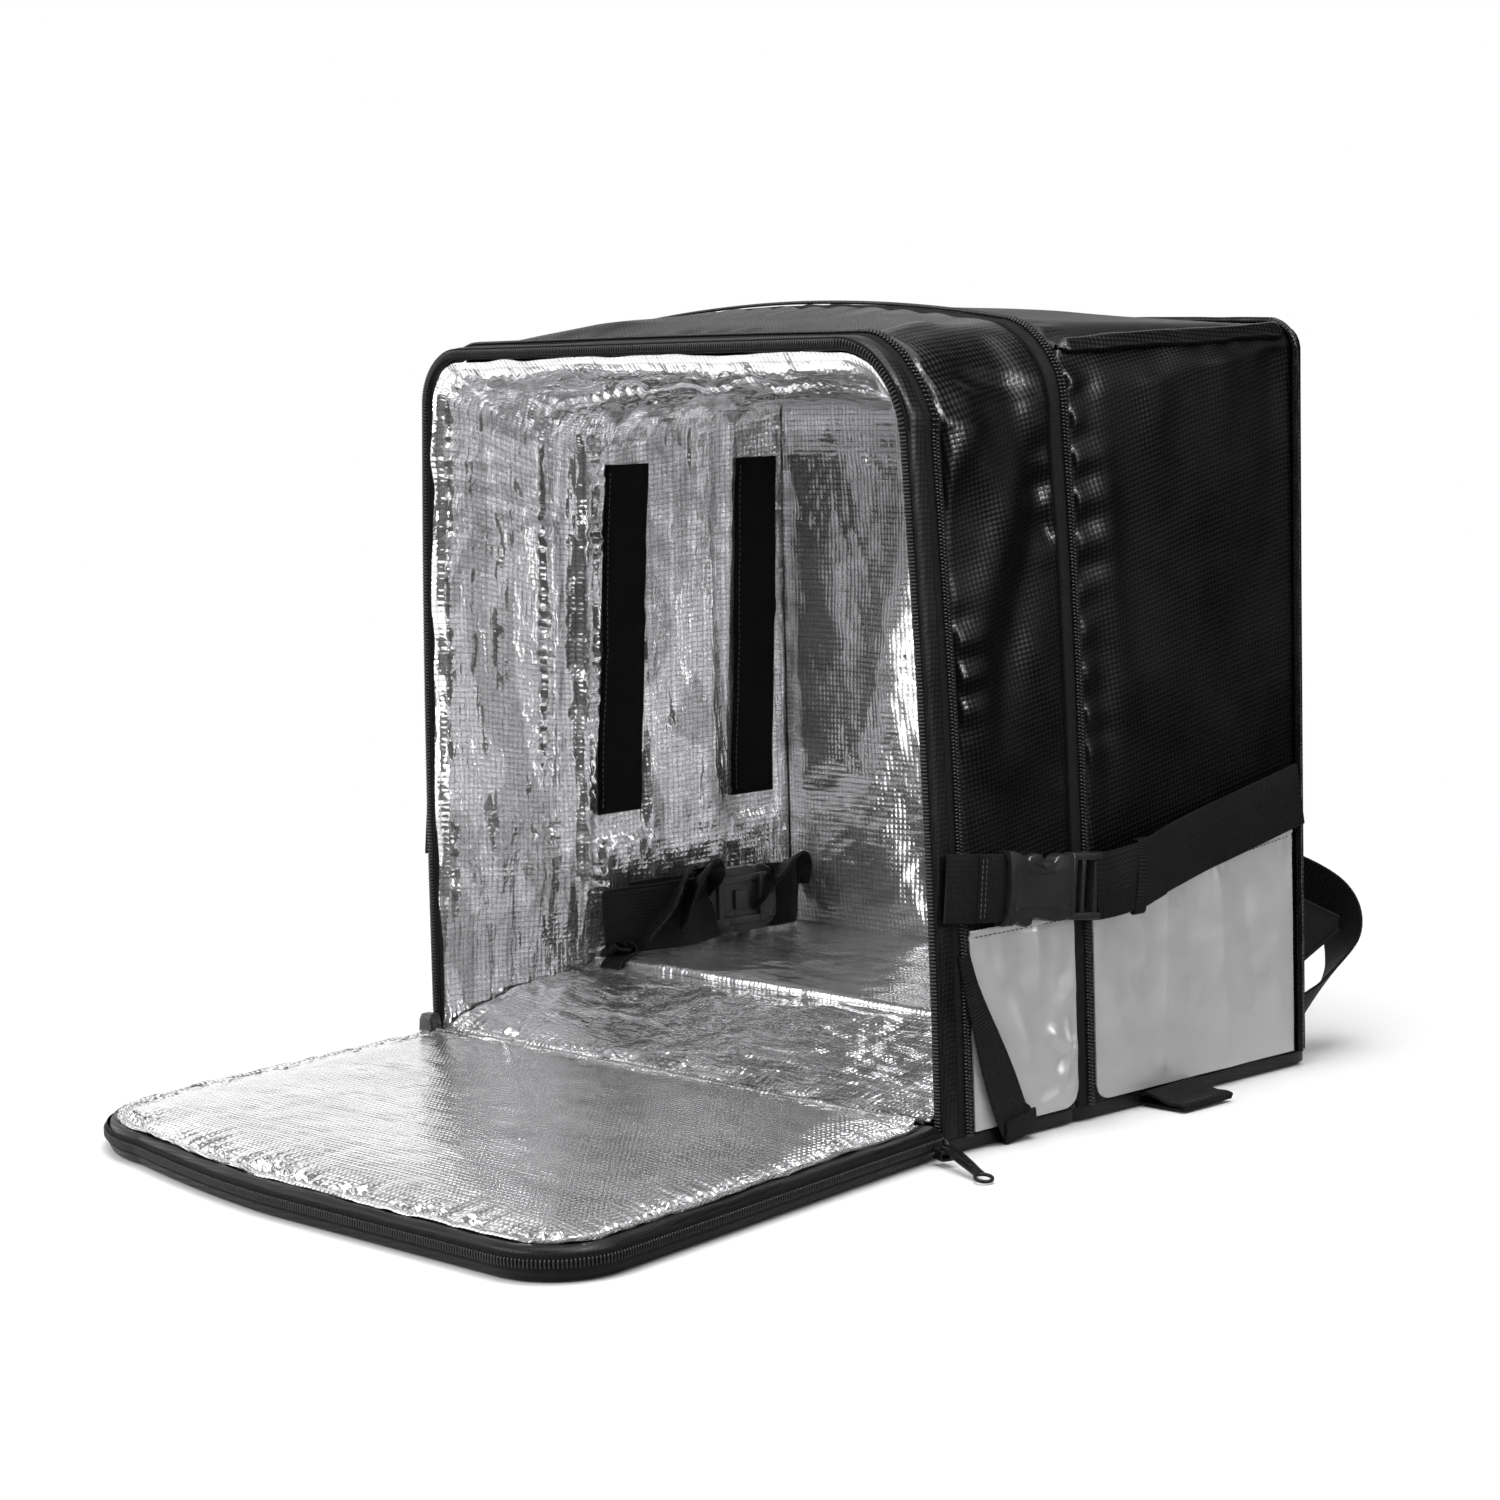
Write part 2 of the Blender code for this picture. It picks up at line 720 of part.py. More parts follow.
def make_zips():
    half = TEETH_WIDTH / 2
    for name, middle in (("zip_front", FRONT_TEETH_DEPTH), ("zip_rear", REAR_TEETH_DEPTH)):

        def strip(lift, middle=middle):
            return lambda u, v: cloth(u, middle - half + v * TEETH_WIDTH, lift)

        top = strip(CURVED_GAP + TEETH_HEIGHT)
        grid_solid(name, "zip_tape", top, strip(CURVED_GAP), OUTLINE_STEPS, 1)

    def face(depth):
        return lambda u, v: outline(u, depth, -0.001 - v * TEETH_WIDTH)[0]

    grid_solid("zip_opening", "zip_tape", face(-GAP - TEETH_HEIGHT), face(-GAP), OUTLINE_STEPS, 1)


def puller_frame():
    """The puller's own frame: its x runs from the pivot to its ring end, and its y is the joint's axis."""
    reach = PULLER_LENGTH
    drop = math.asin((PIVOT_HEIGHT - PULLER_THICKNESS / 2 - GAP) / reach)
    spot = Matrix.Translation(PIVOT)
    return spot @ Matrix.Rotation(PULLER_TURN, 4, "Z") @ Matrix.Rotation(drop, 4, "Y")


def make_slider():
    level = Matrix.Translation(PIVOT) @ Matrix.Rotation(PULLER_TURN, 4, "Z")
    top = -EYE_HEIGHT / 2
    size = (SLIDER_LENGTH, SLIDER_WIDTH, SLIDER_THICKNESS)
    place = level @ Matrix.Translation((-SLIDER_BACK, 0, top - SLIDER_THICKNESS / 2))
    body = add_box("zip_slider", "zip_metal", size, place)
    rise = SLIDER_THICKNESS / 2 + (EYE_HEIGHT + BRIDGE_BAR) / 2
    size = (EYE_LENGTH + 2 * BRIDGE_BAR, BRIDGE_WIDTH, EYE_HEIGHT + 2 * BRIDGE_BAR)
    add_union(body, "bridge", size, (SLIDER_BACK, 0, rise - BRIDGE_BAR / 2))
    centre = (SLIDER_BACK, 0, (SLIDER_THICKNESS + EYE_HEIGHT) / 2)
    add_cutter(body, "eye", (EYE_LENGTH, SLIDER_WIDTH, EYE_HEIGHT), centre)


def make_puller():
    """A flat tab with a window for the slider's bridge at one end and a round eye at the other."""
    frame = puller_frame()
    bar = PULLER_THICKNESS
    length = PULLER_LENGTH + bar / 2
    middle = (length - bar) / 2
    size = (length, PULLER_WIDTH, PULLER_THICKNESS)
    plate = add_box("zip_puller", "zip_metal", size, frame @ Matrix.Translation((middle, 0, 0)))
    start = bar / 2
    end = EYE_LENGTH / 2 + 3 * BRIDGE_BAR
    window = (end - start, BRIDGE_WIDTH + 4 * GAP, SLIDER_WIDTH)
    add_cutter(plate, "window", window, ((start + end) / 2 - middle, 0, 0))
    eye = bpy.data.objects.new("zip_puller_ring", bpy.data.meshes.new("ring"))
    bm = bmesh.new()
    round_hole = {"radius1": PULLER_EYE, "radius2": PULLER_EYE, "depth": SLIDER_WIDTH}
    bmesh.ops.create_cone(bm, cap_ends=True, segments=12, **round_hole)
    bm.to_mesh(eye.data)
    bm.free()
    eye.matrix_world = frame @ Matrix.Translation((PULLER_LENGTH - PULLER_WIDTH / 2, 0, 0))
    eye.hide_render = True
    eye.display_type = "WIRE"
    cutters.objects.link(eye)
    modifier = plate.modifiers.new("ring", "BOOLEAN")
    modifier.object = eye


def make_stop():
    width, length, height = STOP_SIZE
    front = -TEETH_HEIGHT - 2 * GAP - length / 2
    place = Matrix.Translation((STOP_INSET - WIDTH / 2, y_at(front), DOOR_SIDE + GAP + height / 2))
    add_box("zip_stop", "plastic", STOP_SIZE, place, bevel=STOP_ROUNDING)


def side_share(turn, z, depth):
    """The place along the outline of a height on the left (-1) or right (1) wall."""
    _, _, _, left_bend, right_bend = between(STATIONS, depth / DEPTH)
    radius = HEIGHT * (right_bend if turn > 0 else left_bend)
    share = SIDE_SHARE * (z - FOOT) / (HEIGHT - radius - FOOT)
    return 1 - share if turn > 0 else share


def plain_side(turn, z, depth, lift):
    return outline(side_share(turn, z, depth), depth, lift)[0]


def crumple(across, rise):
    """How far a reflective band stands out here; it lies flat along its edges."""
    total = 0.0
    for middle, height, breadth, length, size, slant in CRUMPLES:
        shifted = across - middle - slant * (rise - height)
        total += size * bump(shifted, breadth) * bump(rise - height, length)
    edge = min(1.0, 6 * across, 6 * (1 - across), 6 * rise, 6 * (1 - rise))
    return CRUMPLE_HEIGHT * max(0.0, edge) * min(1.0, total)


def make_bands(turn, side):
    low = FOOT + 0.001
    gusset = (RING_DEPTH + GAP, GUSSET_END - 2 * GAP)
    main = (MAIN_START, MAIN_END - 2 * PIPING_RADIUS - 2 * GAP)
    bands = (
        ("band_gusset", gusset, BAND_TOP, BAND_TOP, 1.0, 7),
        ("band_main", main, BAND_TOP + BAND_STEP, BAND_TOP + BAND_STEP + BAND_RISE, 0.4, 5),
    )
    for name, (start, end), first, last, crumpled, rows in bands:

        def patch(lift, share):
            def place(u, v):
                top = mix(first, last, u)
                more = lift + share * crumple(u, v)
                return plain_side(turn, mix(low, top, v), mix(start, end, u), more)

            return place

        front = patch(GAP + BAND_THICKNESS, crumpled)
        grid_solid(f"{name}_{side}", "reflective", front, patch(GAP, 0), 6, rows)


def belt_spot(turn, depth, lift):
    """A place on the line through the front webbing and the buckle, which sags towards the back."""
    height = BELT_HEIGHT - (depth - BUCKLE_START) * math.tan(BELT_TILT)
    return plain_side(turn, height, depth, lift)


def make_belt(turn, side):
    """The side release buckle and the webbing that pulls the gusset together."""
    seat = GAP + BAND_THICKNESS + TEETH_HEIGHT + FOLD_HEIGHT
    upright = Vector((0, 0, 1))
    tilt = Matrix.Rotation(-BELT_TILT, 4, "X")
    across = tilt @ upright
    first, last = BELT_START, BUCKLE_START - GAP
    front = [belt_spot(turn, mix(first, last, i / 3), seat) for i in range(4)]
    add_webbing(f"belt_front_{side}", "webbing", front, across, WEBBING, WEBBING_THICKNESS, 6)

    middle = BUCKLE_START + FEMALE_LENGTH / 2
    place = Matrix.Translation(belt_spot(turn, middle, seat + WEBBING_THICKNESS)) @ tilt
    size = (BUCKLE_THICKNESS, FEMALE_LENGTH, BUCKLE_HEIGHT)
    female = add_box(f"buckle_female_{side}", "plastic", size, place, BUCKLE_ROUNDING)
    pocket = (BUCKLE_THICKNESS - 2 * BUCKLE_WALL, FEMALE_LENGTH, BUCKLE_HEIGHT - 4 * BUCKLE_WALL)
    add_cutter(female, "pocket", pocket, (0, 2 * BUCKLE_WALL, 0))
    window = (3 * BUCKLE_THICKNESS, WINDOW_LENGTH, WINDOW_HEIGHT)
    for sign, name in ((1, "upper"), (-1, "lower")):
        add_cutter(female, f"window_{name}", window, (0, WINDOW_LENGTH / 4, sign * BUCKLE_HEIGHT / 2))

    place = place @ Matrix.Translation((0, (FEMALE_LENGTH + MALE_LENGTH) / 2 + GAP, 0))
    size = (BUCKLE_THICKNESS, MALE_LENGTH, BUCKLE_HEIGHT)
    male = add_box(f"buckle_male_{side}", "plastic", size, place, BUCKLE_ROUNDING)
    prong = (BUCKLE_THICKNESS - 2 * BUCKLE_WALL - 4 * GAP, PRONG_LENGTH, PRONG_HEIGHT)
    reach = -MALE_LENGTH / 2 - PRONG_LENGTH * 0.4
    for name, z in (("guide", 0), ("upper_prong", PRONG_OFFSET), ("lower_prong", -PRONG_OFFSET)):
        add_union(male, name, prong, (0, reach, z))
    slot = (3 * BUCKLE_THICKNESS, SLOT_WIDTH, BUCKLE_HEIGHT - 4 * BUCKLE_WALL)
    for index, offset in enumerate((-SLOT_WIDTH / 2, 2 * SLOT_WIDTH)):
        add_cutter(male, f"slot_{index}", slot, (0, offset, 0))

    half = FEMALE_LENGTH / 2
    start = BUCKLE_START + half + GAP + (half + MALE_LENGTH + 2 * GAP) * math.cos(BELT_TILT)
    end = MAIN_END - 2 * PIPING_RADIUS
    low, high = belt_spot(turn, start, seat).z, BELT_HEIGHT + BELT_RISE
    rear = []
    for share, bulge in ((0, 0.25), (0.12, 1.0), (0.3, 0.4), (0.65, 0.0), (1.0, -0.12)):
        height = mix(low, high, share)
        rear.append(plain_side(turn, height, mix(start, end, share), seat + bulge * BELT_BULGE))
    add_webbing(f"belt_rear_{side}", "webbing", rear, across, WEBBING, WEBBING_THICKNESS, 12, upright)
    lift = seat + BELT_BULGE + WEBBING_THICKNESS / 2 + KEEPER_THICKNESS / 2 + GAP
    height = mix(low, high, KEEPER_PLACE / (end - start))
    place = Matrix.Translation(plain_side(turn, height, start + KEEPER_PLACE, lift)) @ tilt
    size = (KEEPER_THICKNESS, KEEPER_WIDTH, WEBBING + 2 * KEEPER_OVERHANG)
    rounding = KEEPER_THICKNESS / 3
    add_box(f"belt_keeper_{side}", "webbing", size, place, rounding, segments=1)

    lift = GAP + BAND_THICKNESS + CRUMPLE_HEIGHT + GAP + WEBBING_THICKNESS / 2
    diagonal = []
    for up, share in CORNER_STRAP_ROUTE:
        diagonal.append(plain_side(turn, up * BAND_TOP, RING_DEPTH + share * GUSSET_DEPTH, lift))
    size = (CORNER_WEBBING, WEBBING_THICKNESS)
    add_webbing(f"corner_strap_{side}", "webbing", diagonal, Vector((0, 1, 0)), *size, 5)


def make_base_tab():
    depth = mix(MAIN_START, DEPTH, BASE_TAB_PLACE)
    start = WIDTH / 2 - BASE_INSET + CURVED_GAP
    height = BASE_THICKNESS * 0.4
    route = [(start + BASE_TAB_REACH * share, y_at(depth), height) for share in (0, 0.4, 1)]
    size = (BASE_TAB_WIDTH, 2 * WEBBING_THICKNESS)
    add_webbing("base_tab", "webbing", route, Vector((0, 1, 0)), *size, 3)


def make_inside():
    lift = -(LINING + GAP)
    for index, depth in enumerate(HOOK_DEPTHS):

        def strip(more):
            def place(u, v):
                here = depth + (u - 0.5) * HOOK_WIDTH - HOOK_DRIFT * (1 - v)
                z = HOOK_TOP - HOOK_LENGTH * (1 - v)
                return foil(side_share(-1, z * HEIGHT / (HEIGHT - CEILING_BACK), here), here, lift - more)

            return place

        grid_solid(f"hook_strip_{index + 1}", "hook_tape", strip(0), strip(HOOK_THICKNESS), 2, 8)

    end_depth = LINING_END - BUNDLE_BACK
    start_depth = end_depth - BUNDLE_LENGTH
    wall = -foil_half((start_depth + end_depth) / 2, FLOOR_HEIGHT, -1) + WAVE_HEIGHT + 5 * GAP
    x = wall + BUNDLE_THICKNESS / 2
    low = FLOOR_HEIGHT + GAP
    buckle_start = mix(start_depth, end_depth, BUNDLE_BUCKLE_SHARE)
    buckle_end = buckle_start + INNER_BUCKLE_LENGTH
    stretches = (
        # name, material, first and last depth, height and thickness as shares of the bundle's
        ("inner_strap_front", "webbing", start_depth, buckle_start - GAP, 0.90, 1.0),
        ("inner_buckle", "plastic", buckle_start, buckle_end, 1.00, 0.8),
        ("inner_strap_rear", "webbing", buckle_end + GAP, end_depth, 0.85, 1.1),
    )
    for name, material, start, end, tall, thick in stretches:
        size = (BUNDLE_THICKNESS * thick, end - start, BUNDLE_HEIGHT * tall)
        place = Matrix.Translation((x, y_at((start + end) / 2), low + size[2] / 2))
        add_box(name, material, size, place, BUNDLE_ROUNDING)


def make_shoulder_strap(turn, side):
    """A padded strap from the top of the back panel, its ladder lock, its webbing and its anchoring tab."""
    back = y_at(DEPTH)
    seat = back + STRAP_THICKNESS / 2 + GAP
    route = []
    for across, out, up in STRAP_ROUTE:
        route.append(Vector((turn * across * WIDTH, seat + out * STRAP_REACH, up * HEIGHT)))
    size = (STRAP_WIDTH, STRAP_THICKNESS)
    add_webbing(f"shoulder_strap_{side}", "tarpaulin", route, Vector((1, 0, 0)), *size, 14)
    ladder = route[-1] - Vector((0, LADDER_BACK, GAP + LADDER_HEIGHT / 2))
    size = (LADDER_WIDTH, LADDER_THICKNESS, LADDER_HEIGHT)
    rounding = LADDER_THICKNESS / 5
    obj = add_box(f"ladder_lock_{side}", "plastic", size, Matrix.Translation(ladder), rounding, segments=1)
    for index, sign in enumerate((1, -1)):
        slot = (LADDER_WIDTH - 2 * LADDER_BAR, 4 * LADDER_THICKNESS, LADDER_BAR)
        add_cutter(obj, f"slot_{index}", slot, (0, 0, sign * LADDER_HEIGHT / 5))
    low = ladder - Vector((0, 0, LADDER_HEIGHT / 2 + GAP + WEBBING_TILT))
    tail = [low]
    for across, out, up in TAIL_ROUTE:
        y = back + WEBBING_THICKNESS + out * TAIL_REACH
        tail.append(Vector((turn * across * WIDTH, y, up * HEIGHT)))
    first = Vector((turn, 0, 0.1))
    last = Vector((turn * 0.5, 0, 0.86))
    size = (LADDER_WIDTH * 0.8, WEBBING_THICKNESS)
    add_webbing(f"strap_webbing_{side}", "webbing", tail, first, *size, 14, last)
    bm = bmesh.new()
    x = turn * (WIDTH / 2 - ANCHOR_INSET)
    corners = ((0, ANCHOR_LOW), (0, ANCHOR_HIGH), (ANCHOR_REACH, (ANCHOR_LOW + ANCHOR_HIGH) / 2))
    ends = [bm.verts.new((x, back + GAP + reach, z)) for reach, z in corners]
    made = bmesh.ops.extrude_face_region(bm, geom=[bm.faces.new(ends)])
    for item in made["geom"]:
        if isinstance(item, bmesh.types.BMVert):
            item.co.x += ANCHOR_THICKNESS
    add_object(f"strap_anchor_{side}", "webbing", bm)


clear_scene()
bag = bpy.data.collections.new("insulated_delivery_backpack")
cutters = bpy.data.collections.new("cutters")
bpy.context.scene.collection.children.link(bag)
bpy.context.scene.collection.children.link(cutters)
materials = make_materials()
make_shell()
make_base()
make_back()
make_piping()
make_lining()
make_lining_back()
make_floor()
make_door()
make_hinge_seam()
make_zips()
make_slider()
make_puller()
make_stop()
for turn, side in ((-1, "left"), (1, "right")):
    make_bands(turn, side)
    make_belt(turn, side)
    make_shoulder_strap(turn, side)
make_base_tab()
make_inside()
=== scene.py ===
import math

import bmesh
import bpy
import numpy as np
from mathutils import Matrix, Vector


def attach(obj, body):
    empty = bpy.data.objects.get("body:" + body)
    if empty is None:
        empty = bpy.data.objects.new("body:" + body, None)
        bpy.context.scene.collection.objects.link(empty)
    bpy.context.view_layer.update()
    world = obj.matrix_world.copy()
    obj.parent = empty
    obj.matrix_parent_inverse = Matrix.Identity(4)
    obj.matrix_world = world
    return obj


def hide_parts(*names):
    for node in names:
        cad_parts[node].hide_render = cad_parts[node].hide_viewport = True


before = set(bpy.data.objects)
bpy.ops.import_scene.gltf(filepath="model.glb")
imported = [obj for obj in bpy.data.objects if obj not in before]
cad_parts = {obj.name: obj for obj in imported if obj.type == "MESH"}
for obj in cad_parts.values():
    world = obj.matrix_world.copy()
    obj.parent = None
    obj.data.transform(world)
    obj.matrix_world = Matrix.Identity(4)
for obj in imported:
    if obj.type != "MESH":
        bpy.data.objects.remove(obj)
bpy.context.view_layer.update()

# Driving dimensions of the bag's body, as in the CAD model
WIDTH = 0.457
HEIGHT = 0.459
DEPTH = 0.3305
RING_DEPTH = 0.024
GUSSET_DEPTH = 0.0896
SEAM_BAND_DEPTH = 0.0159
WALL = 0.008
BACK_THICKNESS = 0.009
BASE_THICKNESS = 0.009
LINING = 0.0018
GAP = 0.0004
CURVED_GAP = 0.0007
CROWN = 0.020
STATIONS = (
    # depth, left_lean, right_lean, crown, left_bend, right_bend
    (0.000, 0.033, 0.042, 0.00, 0.076, 0.120),
    (0.073, 0.033, 0.042, 0.10, 0.076, 0.118),
    (0.200, 0.031, 0.036, 0.72, 0.083, 0.108),
    (0.380, 0.026, 0.028, 1.00, 0.083, 0.092),
    (0.700, 0.012, 0.006, 0.85, 0.056, 0.056),
    (1.000, 0.004, -0.004, 0.15, 0.033, 0.033),
)
FOLD_HEIGHT = 0.0045
FOLDS = (
    # place, depth, length, breadth, height, slant
    (0.740, 0.20, 0.030, 0.070, -0.90, 0.10),
    (0.808, 0.15, 0.040, 0.050, 0.80, 0.12),
    (0.852, 0.24, 0.045, 0.045, -0.80, -0.10),
    (0.884, 0.14, 0.030, 0.050, 0.70, 0.00),
    (0.787, 0.44, 0.040, 0.030, -0.80, 0.00),
    (0.840, 0.46, 0.045, 0.035, 0.90, 0.02),
    (0.880, 0.45, 0.028, 0.030, -0.60, 0.00),
    (0.808, 0.60, 0.024, 0.040, 0.50, 0.00),
    (0.793, 0.78, 0.025, 0.040, 0.60, 0.00),
    (0.800, 0.92, 0.030, 0.040, -0.50, 0.00),
    (0.267, 0.20, 0.050, 0.060, -0.70, -0.10),
    (0.160, 0.17, 0.040, 0.050, 0.70, 0.08),
    (0.110, 0.25, 0.030, 0.050, -0.60, -0.06),
    (0.440, 0.20, 0.040, 0.060, 0.70, 0.08),
    (0.520, 0.22, 0.050, 0.050, -0.60, 0.00),
    (0.600, 0.17, 0.035, 0.060, 0.60, -0.08),
)
CRUMPLE_HEIGHT = 0.0028
CRUMPLES = (
    # across, rise, breadth, length, height, slant
    (0.20, 0.75, 0.10, 0.30, 1.00, 0.10),
    (0.45, 0.40, 0.09, 0.35, 0.80, -0.15),
    (0.80, 0.55, 0.10, 0.22, 1.00, 0.20),
    (0.86, 0.30, 0.12, 0.12, 0.90, 0.00),
    (0.60, 0.85, 0.12, 0.16, 0.60, 0.00),
)
CEILING_FRONT = 0.003
CEILING_BACK = 0.036
FLOOR_HEIGHT = 0.048
FLOOR_RIPPLE = 0.0018
GUSSET_FLOOR_FRONT = 0.020
HEM_RADIUS = 0.0035
WAVE_HEIGHT = 0.006
WAVES = (
    # depth, breadth, height, drift
    (0.12, 0.050, 0.55, 0.05),
    (0.26, 0.030, 0.80, -0.04),
    (0.39, 0.045, -0.30, 0.00),
    (0.43, 0.030, 1.00, 0.02),
    (0.62, 0.060, 0.35, 0.03),
    (0.74, 0.045, 0.70, -0.03),
    (0.90, 0.030, 0.45, 0.00),
)
DOOR_LENGTH = 0.330
DOOR_FLARE = 0.008
DOOR_SKEW = 0.046
DOOR_SLANT = 0.022
DOOR_LEFT_BEND = 0.075
DOOR_RIGHT_BEND = 0.050
DOOR_SIDE = 0.017
DOOR_PILLOW = 0.009
DOOR_MARGIN = 0.007
HINGE_START = 0.002
HINGE_WIDTH = 0.012
TEETH_WIDTH = 0.005
TEETH_HEIGHT = 0.0022
FRONT_TEETH_DEPTH = 0.019
REAR_TEETH_DEPTH = 0.124
WEBBING = 0.039
WEBBING_THICKNESS = 0.0018
BELT_HEIGHT = 0.148
BELT_RISE = 0.024
BELT_START = 0.003
BELT_BULGE = 0.008
BUCKLE_HEIGHT = 0.043
BUCKLE_START = 0.042
FEMALE_LENGTH = 0.056
MALE_LENGTH = 0.034
BAND_TOP = 0.125
BAND_RISE = 0.021
BAND_STEP = 0.004
BAND_THICKNESS = 0.0008
CORNER_WEBBING = 0.025
KEEPER_PLACE = 0.020
CORNER_STRAP_ROUTE = ((0.80, 0.09), (0.56, 0.20), (0.32, 0.31), (0.13, 0.40))
HOOK_WIDTH = 0.0385
HOOK_LENGTH = 0.235
HOOK_TOP = 0.378
HOOK_DEPTHS = (0.168, 0.293)
HOOK_DRIFT = 0.011
HOOK_MARGIN = 0.020
STRAP_WIDTH = 0.065
STRAP_THICKNESS = 0.010
PIPING_RADIUS = 0.0022
WELT_RADIUS = 0.0035
GUSSET_END = RING_DEPTH + GUSSET_DEPTH
MAIN_START = GUSSET_END + SEAM_BAND_DEPTH
MAIN_END = DEPTH - BACK_THICKNESS
FOOT = BASE_THICKNESS + GAP
LINING_LIFT = -(WALL + GAP)
LINING_END = MAIN_END - LINING - 2 * GAP
SIDE_SHARE = 0.2
BEND_SHARE = 0.2
LEFT_SEAM = SIDE_SHARE + BEND_SHARE / 2
RIGHT_SEAM = 1 - LEFT_SEAM


# Small numbers and noise

def y_at(depth):
    """The frame's y at this depth behind the opening."""
    return depth - DEPTH / 2


def mix(a, b, share):
    """The value at this share of the way from a to b."""
    return a + (b - a) * share


def clamp(value, low=0.0, high=1.0):
    """A value kept between low and high."""
    return np.clip(value, low, high)


def smooth(value, low, high):
    """Rises softly from 0 at low to 1 at high."""
    share = clamp((value - low) / (high - low))
    return share * share * (3 - 2 * share)


def bump(distance, reach):
    return np.exp(-((distance / reach) ** 2))


def between(table, share):
    """Each column of a table, read at this share of its first column."""
    columns = np.array(table)
    return [np.interp(share, columns[:, 0], columns[:, k]) for k in range(1, columns.shape[1])]


def stack(x, y, z):
    """Points from their x, y and z."""
    x, y, z = np.broadcast_arrays(x, y, z)
    return np.stack([x, y, z], -1).astype(float)


def walked_along(path):
    """How far along a path each of its points lies."""
    return np.concatenate([[0], np.cumsum(np.linalg.norm(np.diff(path, axis=0), axis=1))])


def read_at(where, gone, values):
    """Rows of values, known at the distances gone, read at the distances where."""
    return np.stack([np.interp(where, gone, column) for column in values.T], -1)


def circle(count):
    """Angles at even steps once round."""
    return np.linspace(0, 2 * math.pi, count + 1)[:-1]


def all_along(way, points):
    """The same direction for each of the points."""
    return np.broadcast_to(np.array(way, float), points.shape)


def noise(x, y, seed):
    """Smooth noise over a plane, from -1 to 1, one cell to a unit."""
    table = np.random.default_rng(seed).uniform(-1, 1, (64, 64))
    x, y = np.broadcast_arrays(np.asarray(x, float), np.asarray(y, float))
    left, low = np.floor(x).astype(int), np.floor(y).astype(int)
    a, b = x - left, y - low
    a, b = a * a * (3 - 2 * a), b * b * (3 - 2 * b)
    near = mix(table[left % 64, low % 64], table[(left + 1) % 64, low % 64], a)
    far = mix(table[left % 64, (low + 1) % 64], table[(left + 1) % 64, (low + 1) % 64], a)
    return mix(near, far, b)


def creases(x, y, seed, count=5, spread=math.pi, lean=0.0):
    """Sharp folds in a few directions, as in crushed foil, from 0 to 1."""
    rng = np.random.default_rng(seed)
    total = 0.0
    for index in range(count):
        angle = lean + rng.uniform(-spread / 2, spread / 2)
        pitch = rng.uniform(0.7, 1.7)
        across = x * math.cos(angle) + y * math.sin(angle)
        bent = across / pitch + 1.1 * noise(x * 0.6, y * 0.6, seed * 31 + index) + rng.uniform(0, 1)
        tooth = np.abs(bent - np.round(bent)) * 2
        fade = clamp(noise(x * 0.45 + 7 * index, y * 0.45, seed * 17 + index) + 0.45)
        total = total + tooth * fade
    return total / count


# The bag's form

def outline(place, depth, lift=0.0):
    """Points of the plain outline at these places and depths, moved out by lift, and the ways out there."""
    place, depth, lift = np.broadcast_arrays(np.asarray(place, float), np.asarray(depth, float), lift)
    left_lean, right_lean, crown, left_bend, right_bend = between(STATIONS, depth / DEPTH)
    right = place > 0.5
    turn = np.where(right, 1.0, -1.0)
    along = np.where(right, 1 - place, place)
    half = WIDTH / 2
    radius = HEIGHT * np.where(right, right_bend, left_bend)
    rise = HEIGHT - radius
    angle = math.pi / 2 * clamp((along - SIDE_SHARE) / BEND_SHARE)
    share = clamp((along - SIDE_SHARE - BEND_SHARE) / (0.5 - SIDE_SHARE - BEND_SHARE))
    x = (half - radius) * (1 - share) + radius * np.cos(angle)
    z = mix(FOOT, rise, clamp(along / SIDE_SHARE)) + radius * np.sin(angle)
    lean = WIDTH * np.where(right, right_lean, left_lean)
    height_share = z / HEIGHT
    across = x / half
    x = x + np.cos(angle) * lift
    z = z + np.sin(angle) * lift
    x = x - across * lean * height_share**2
    z = z + CROWN * crown * (1 - across**2) * height_share**8
    return stack(turn * x, y_at(depth), z), stack(turn * np.cos(angle), 0, np.sin(angle))


def fold(place, depth):
    """How far the soft folds of the main part push its cloth out."""
    share = depth / DEPTH
    total = 0.0
    for centre, middle, length, breadth, height, slant in FOLDS:
        across = share - middle - slant * (place - centre) / length
        total = total + height * bump(place - centre, length) * bump(across, breadth)
    return FOLD_HEIGHT * clamp(total, -1.0, 1.0)


def wave(place, depth):
    """How far the foil lining bulges inwards."""
    share = depth / DEPTH
    total = 0.0
    for middle, breadth, height, drift in WAVES:
        total = total + height * bump(share - middle - drift * np.sin(9 * place), breadth)
    along = np.minimum(place, 1 - place)
    return WAVE_HEIGHT * clamp(total, 0, 9) * clamp(
        (along - 0.028) / 0.04
    ) * under_strips(depth) * rims(depth)


def under_strips(depth):
    """Falls to 0 where the hook strips lie on the foil."""
    fade = 1.0
    for middle in HOOK_DEPTHS:
        away = np.abs(depth - middle) - HOOK_WIDTH / 2 - HOOK_DRIFT
        fade = fade * clamp(away / HOOK_MARGIN)
    return fade


def rims(depth):
    """Falls to 0 at the lining's front and rear edges."""
    return clamp(np.minimum(depth, DEPTH - depth) / RING_DEPTH)


def ceiling_drop(depth):
    """How far the foil ceiling hangs below the top."""
    share = clamp(depth / MAIN_START)
    return mix(CEILING_FRONT, CEILING_BACK, share * share * (3 - 2 * share))


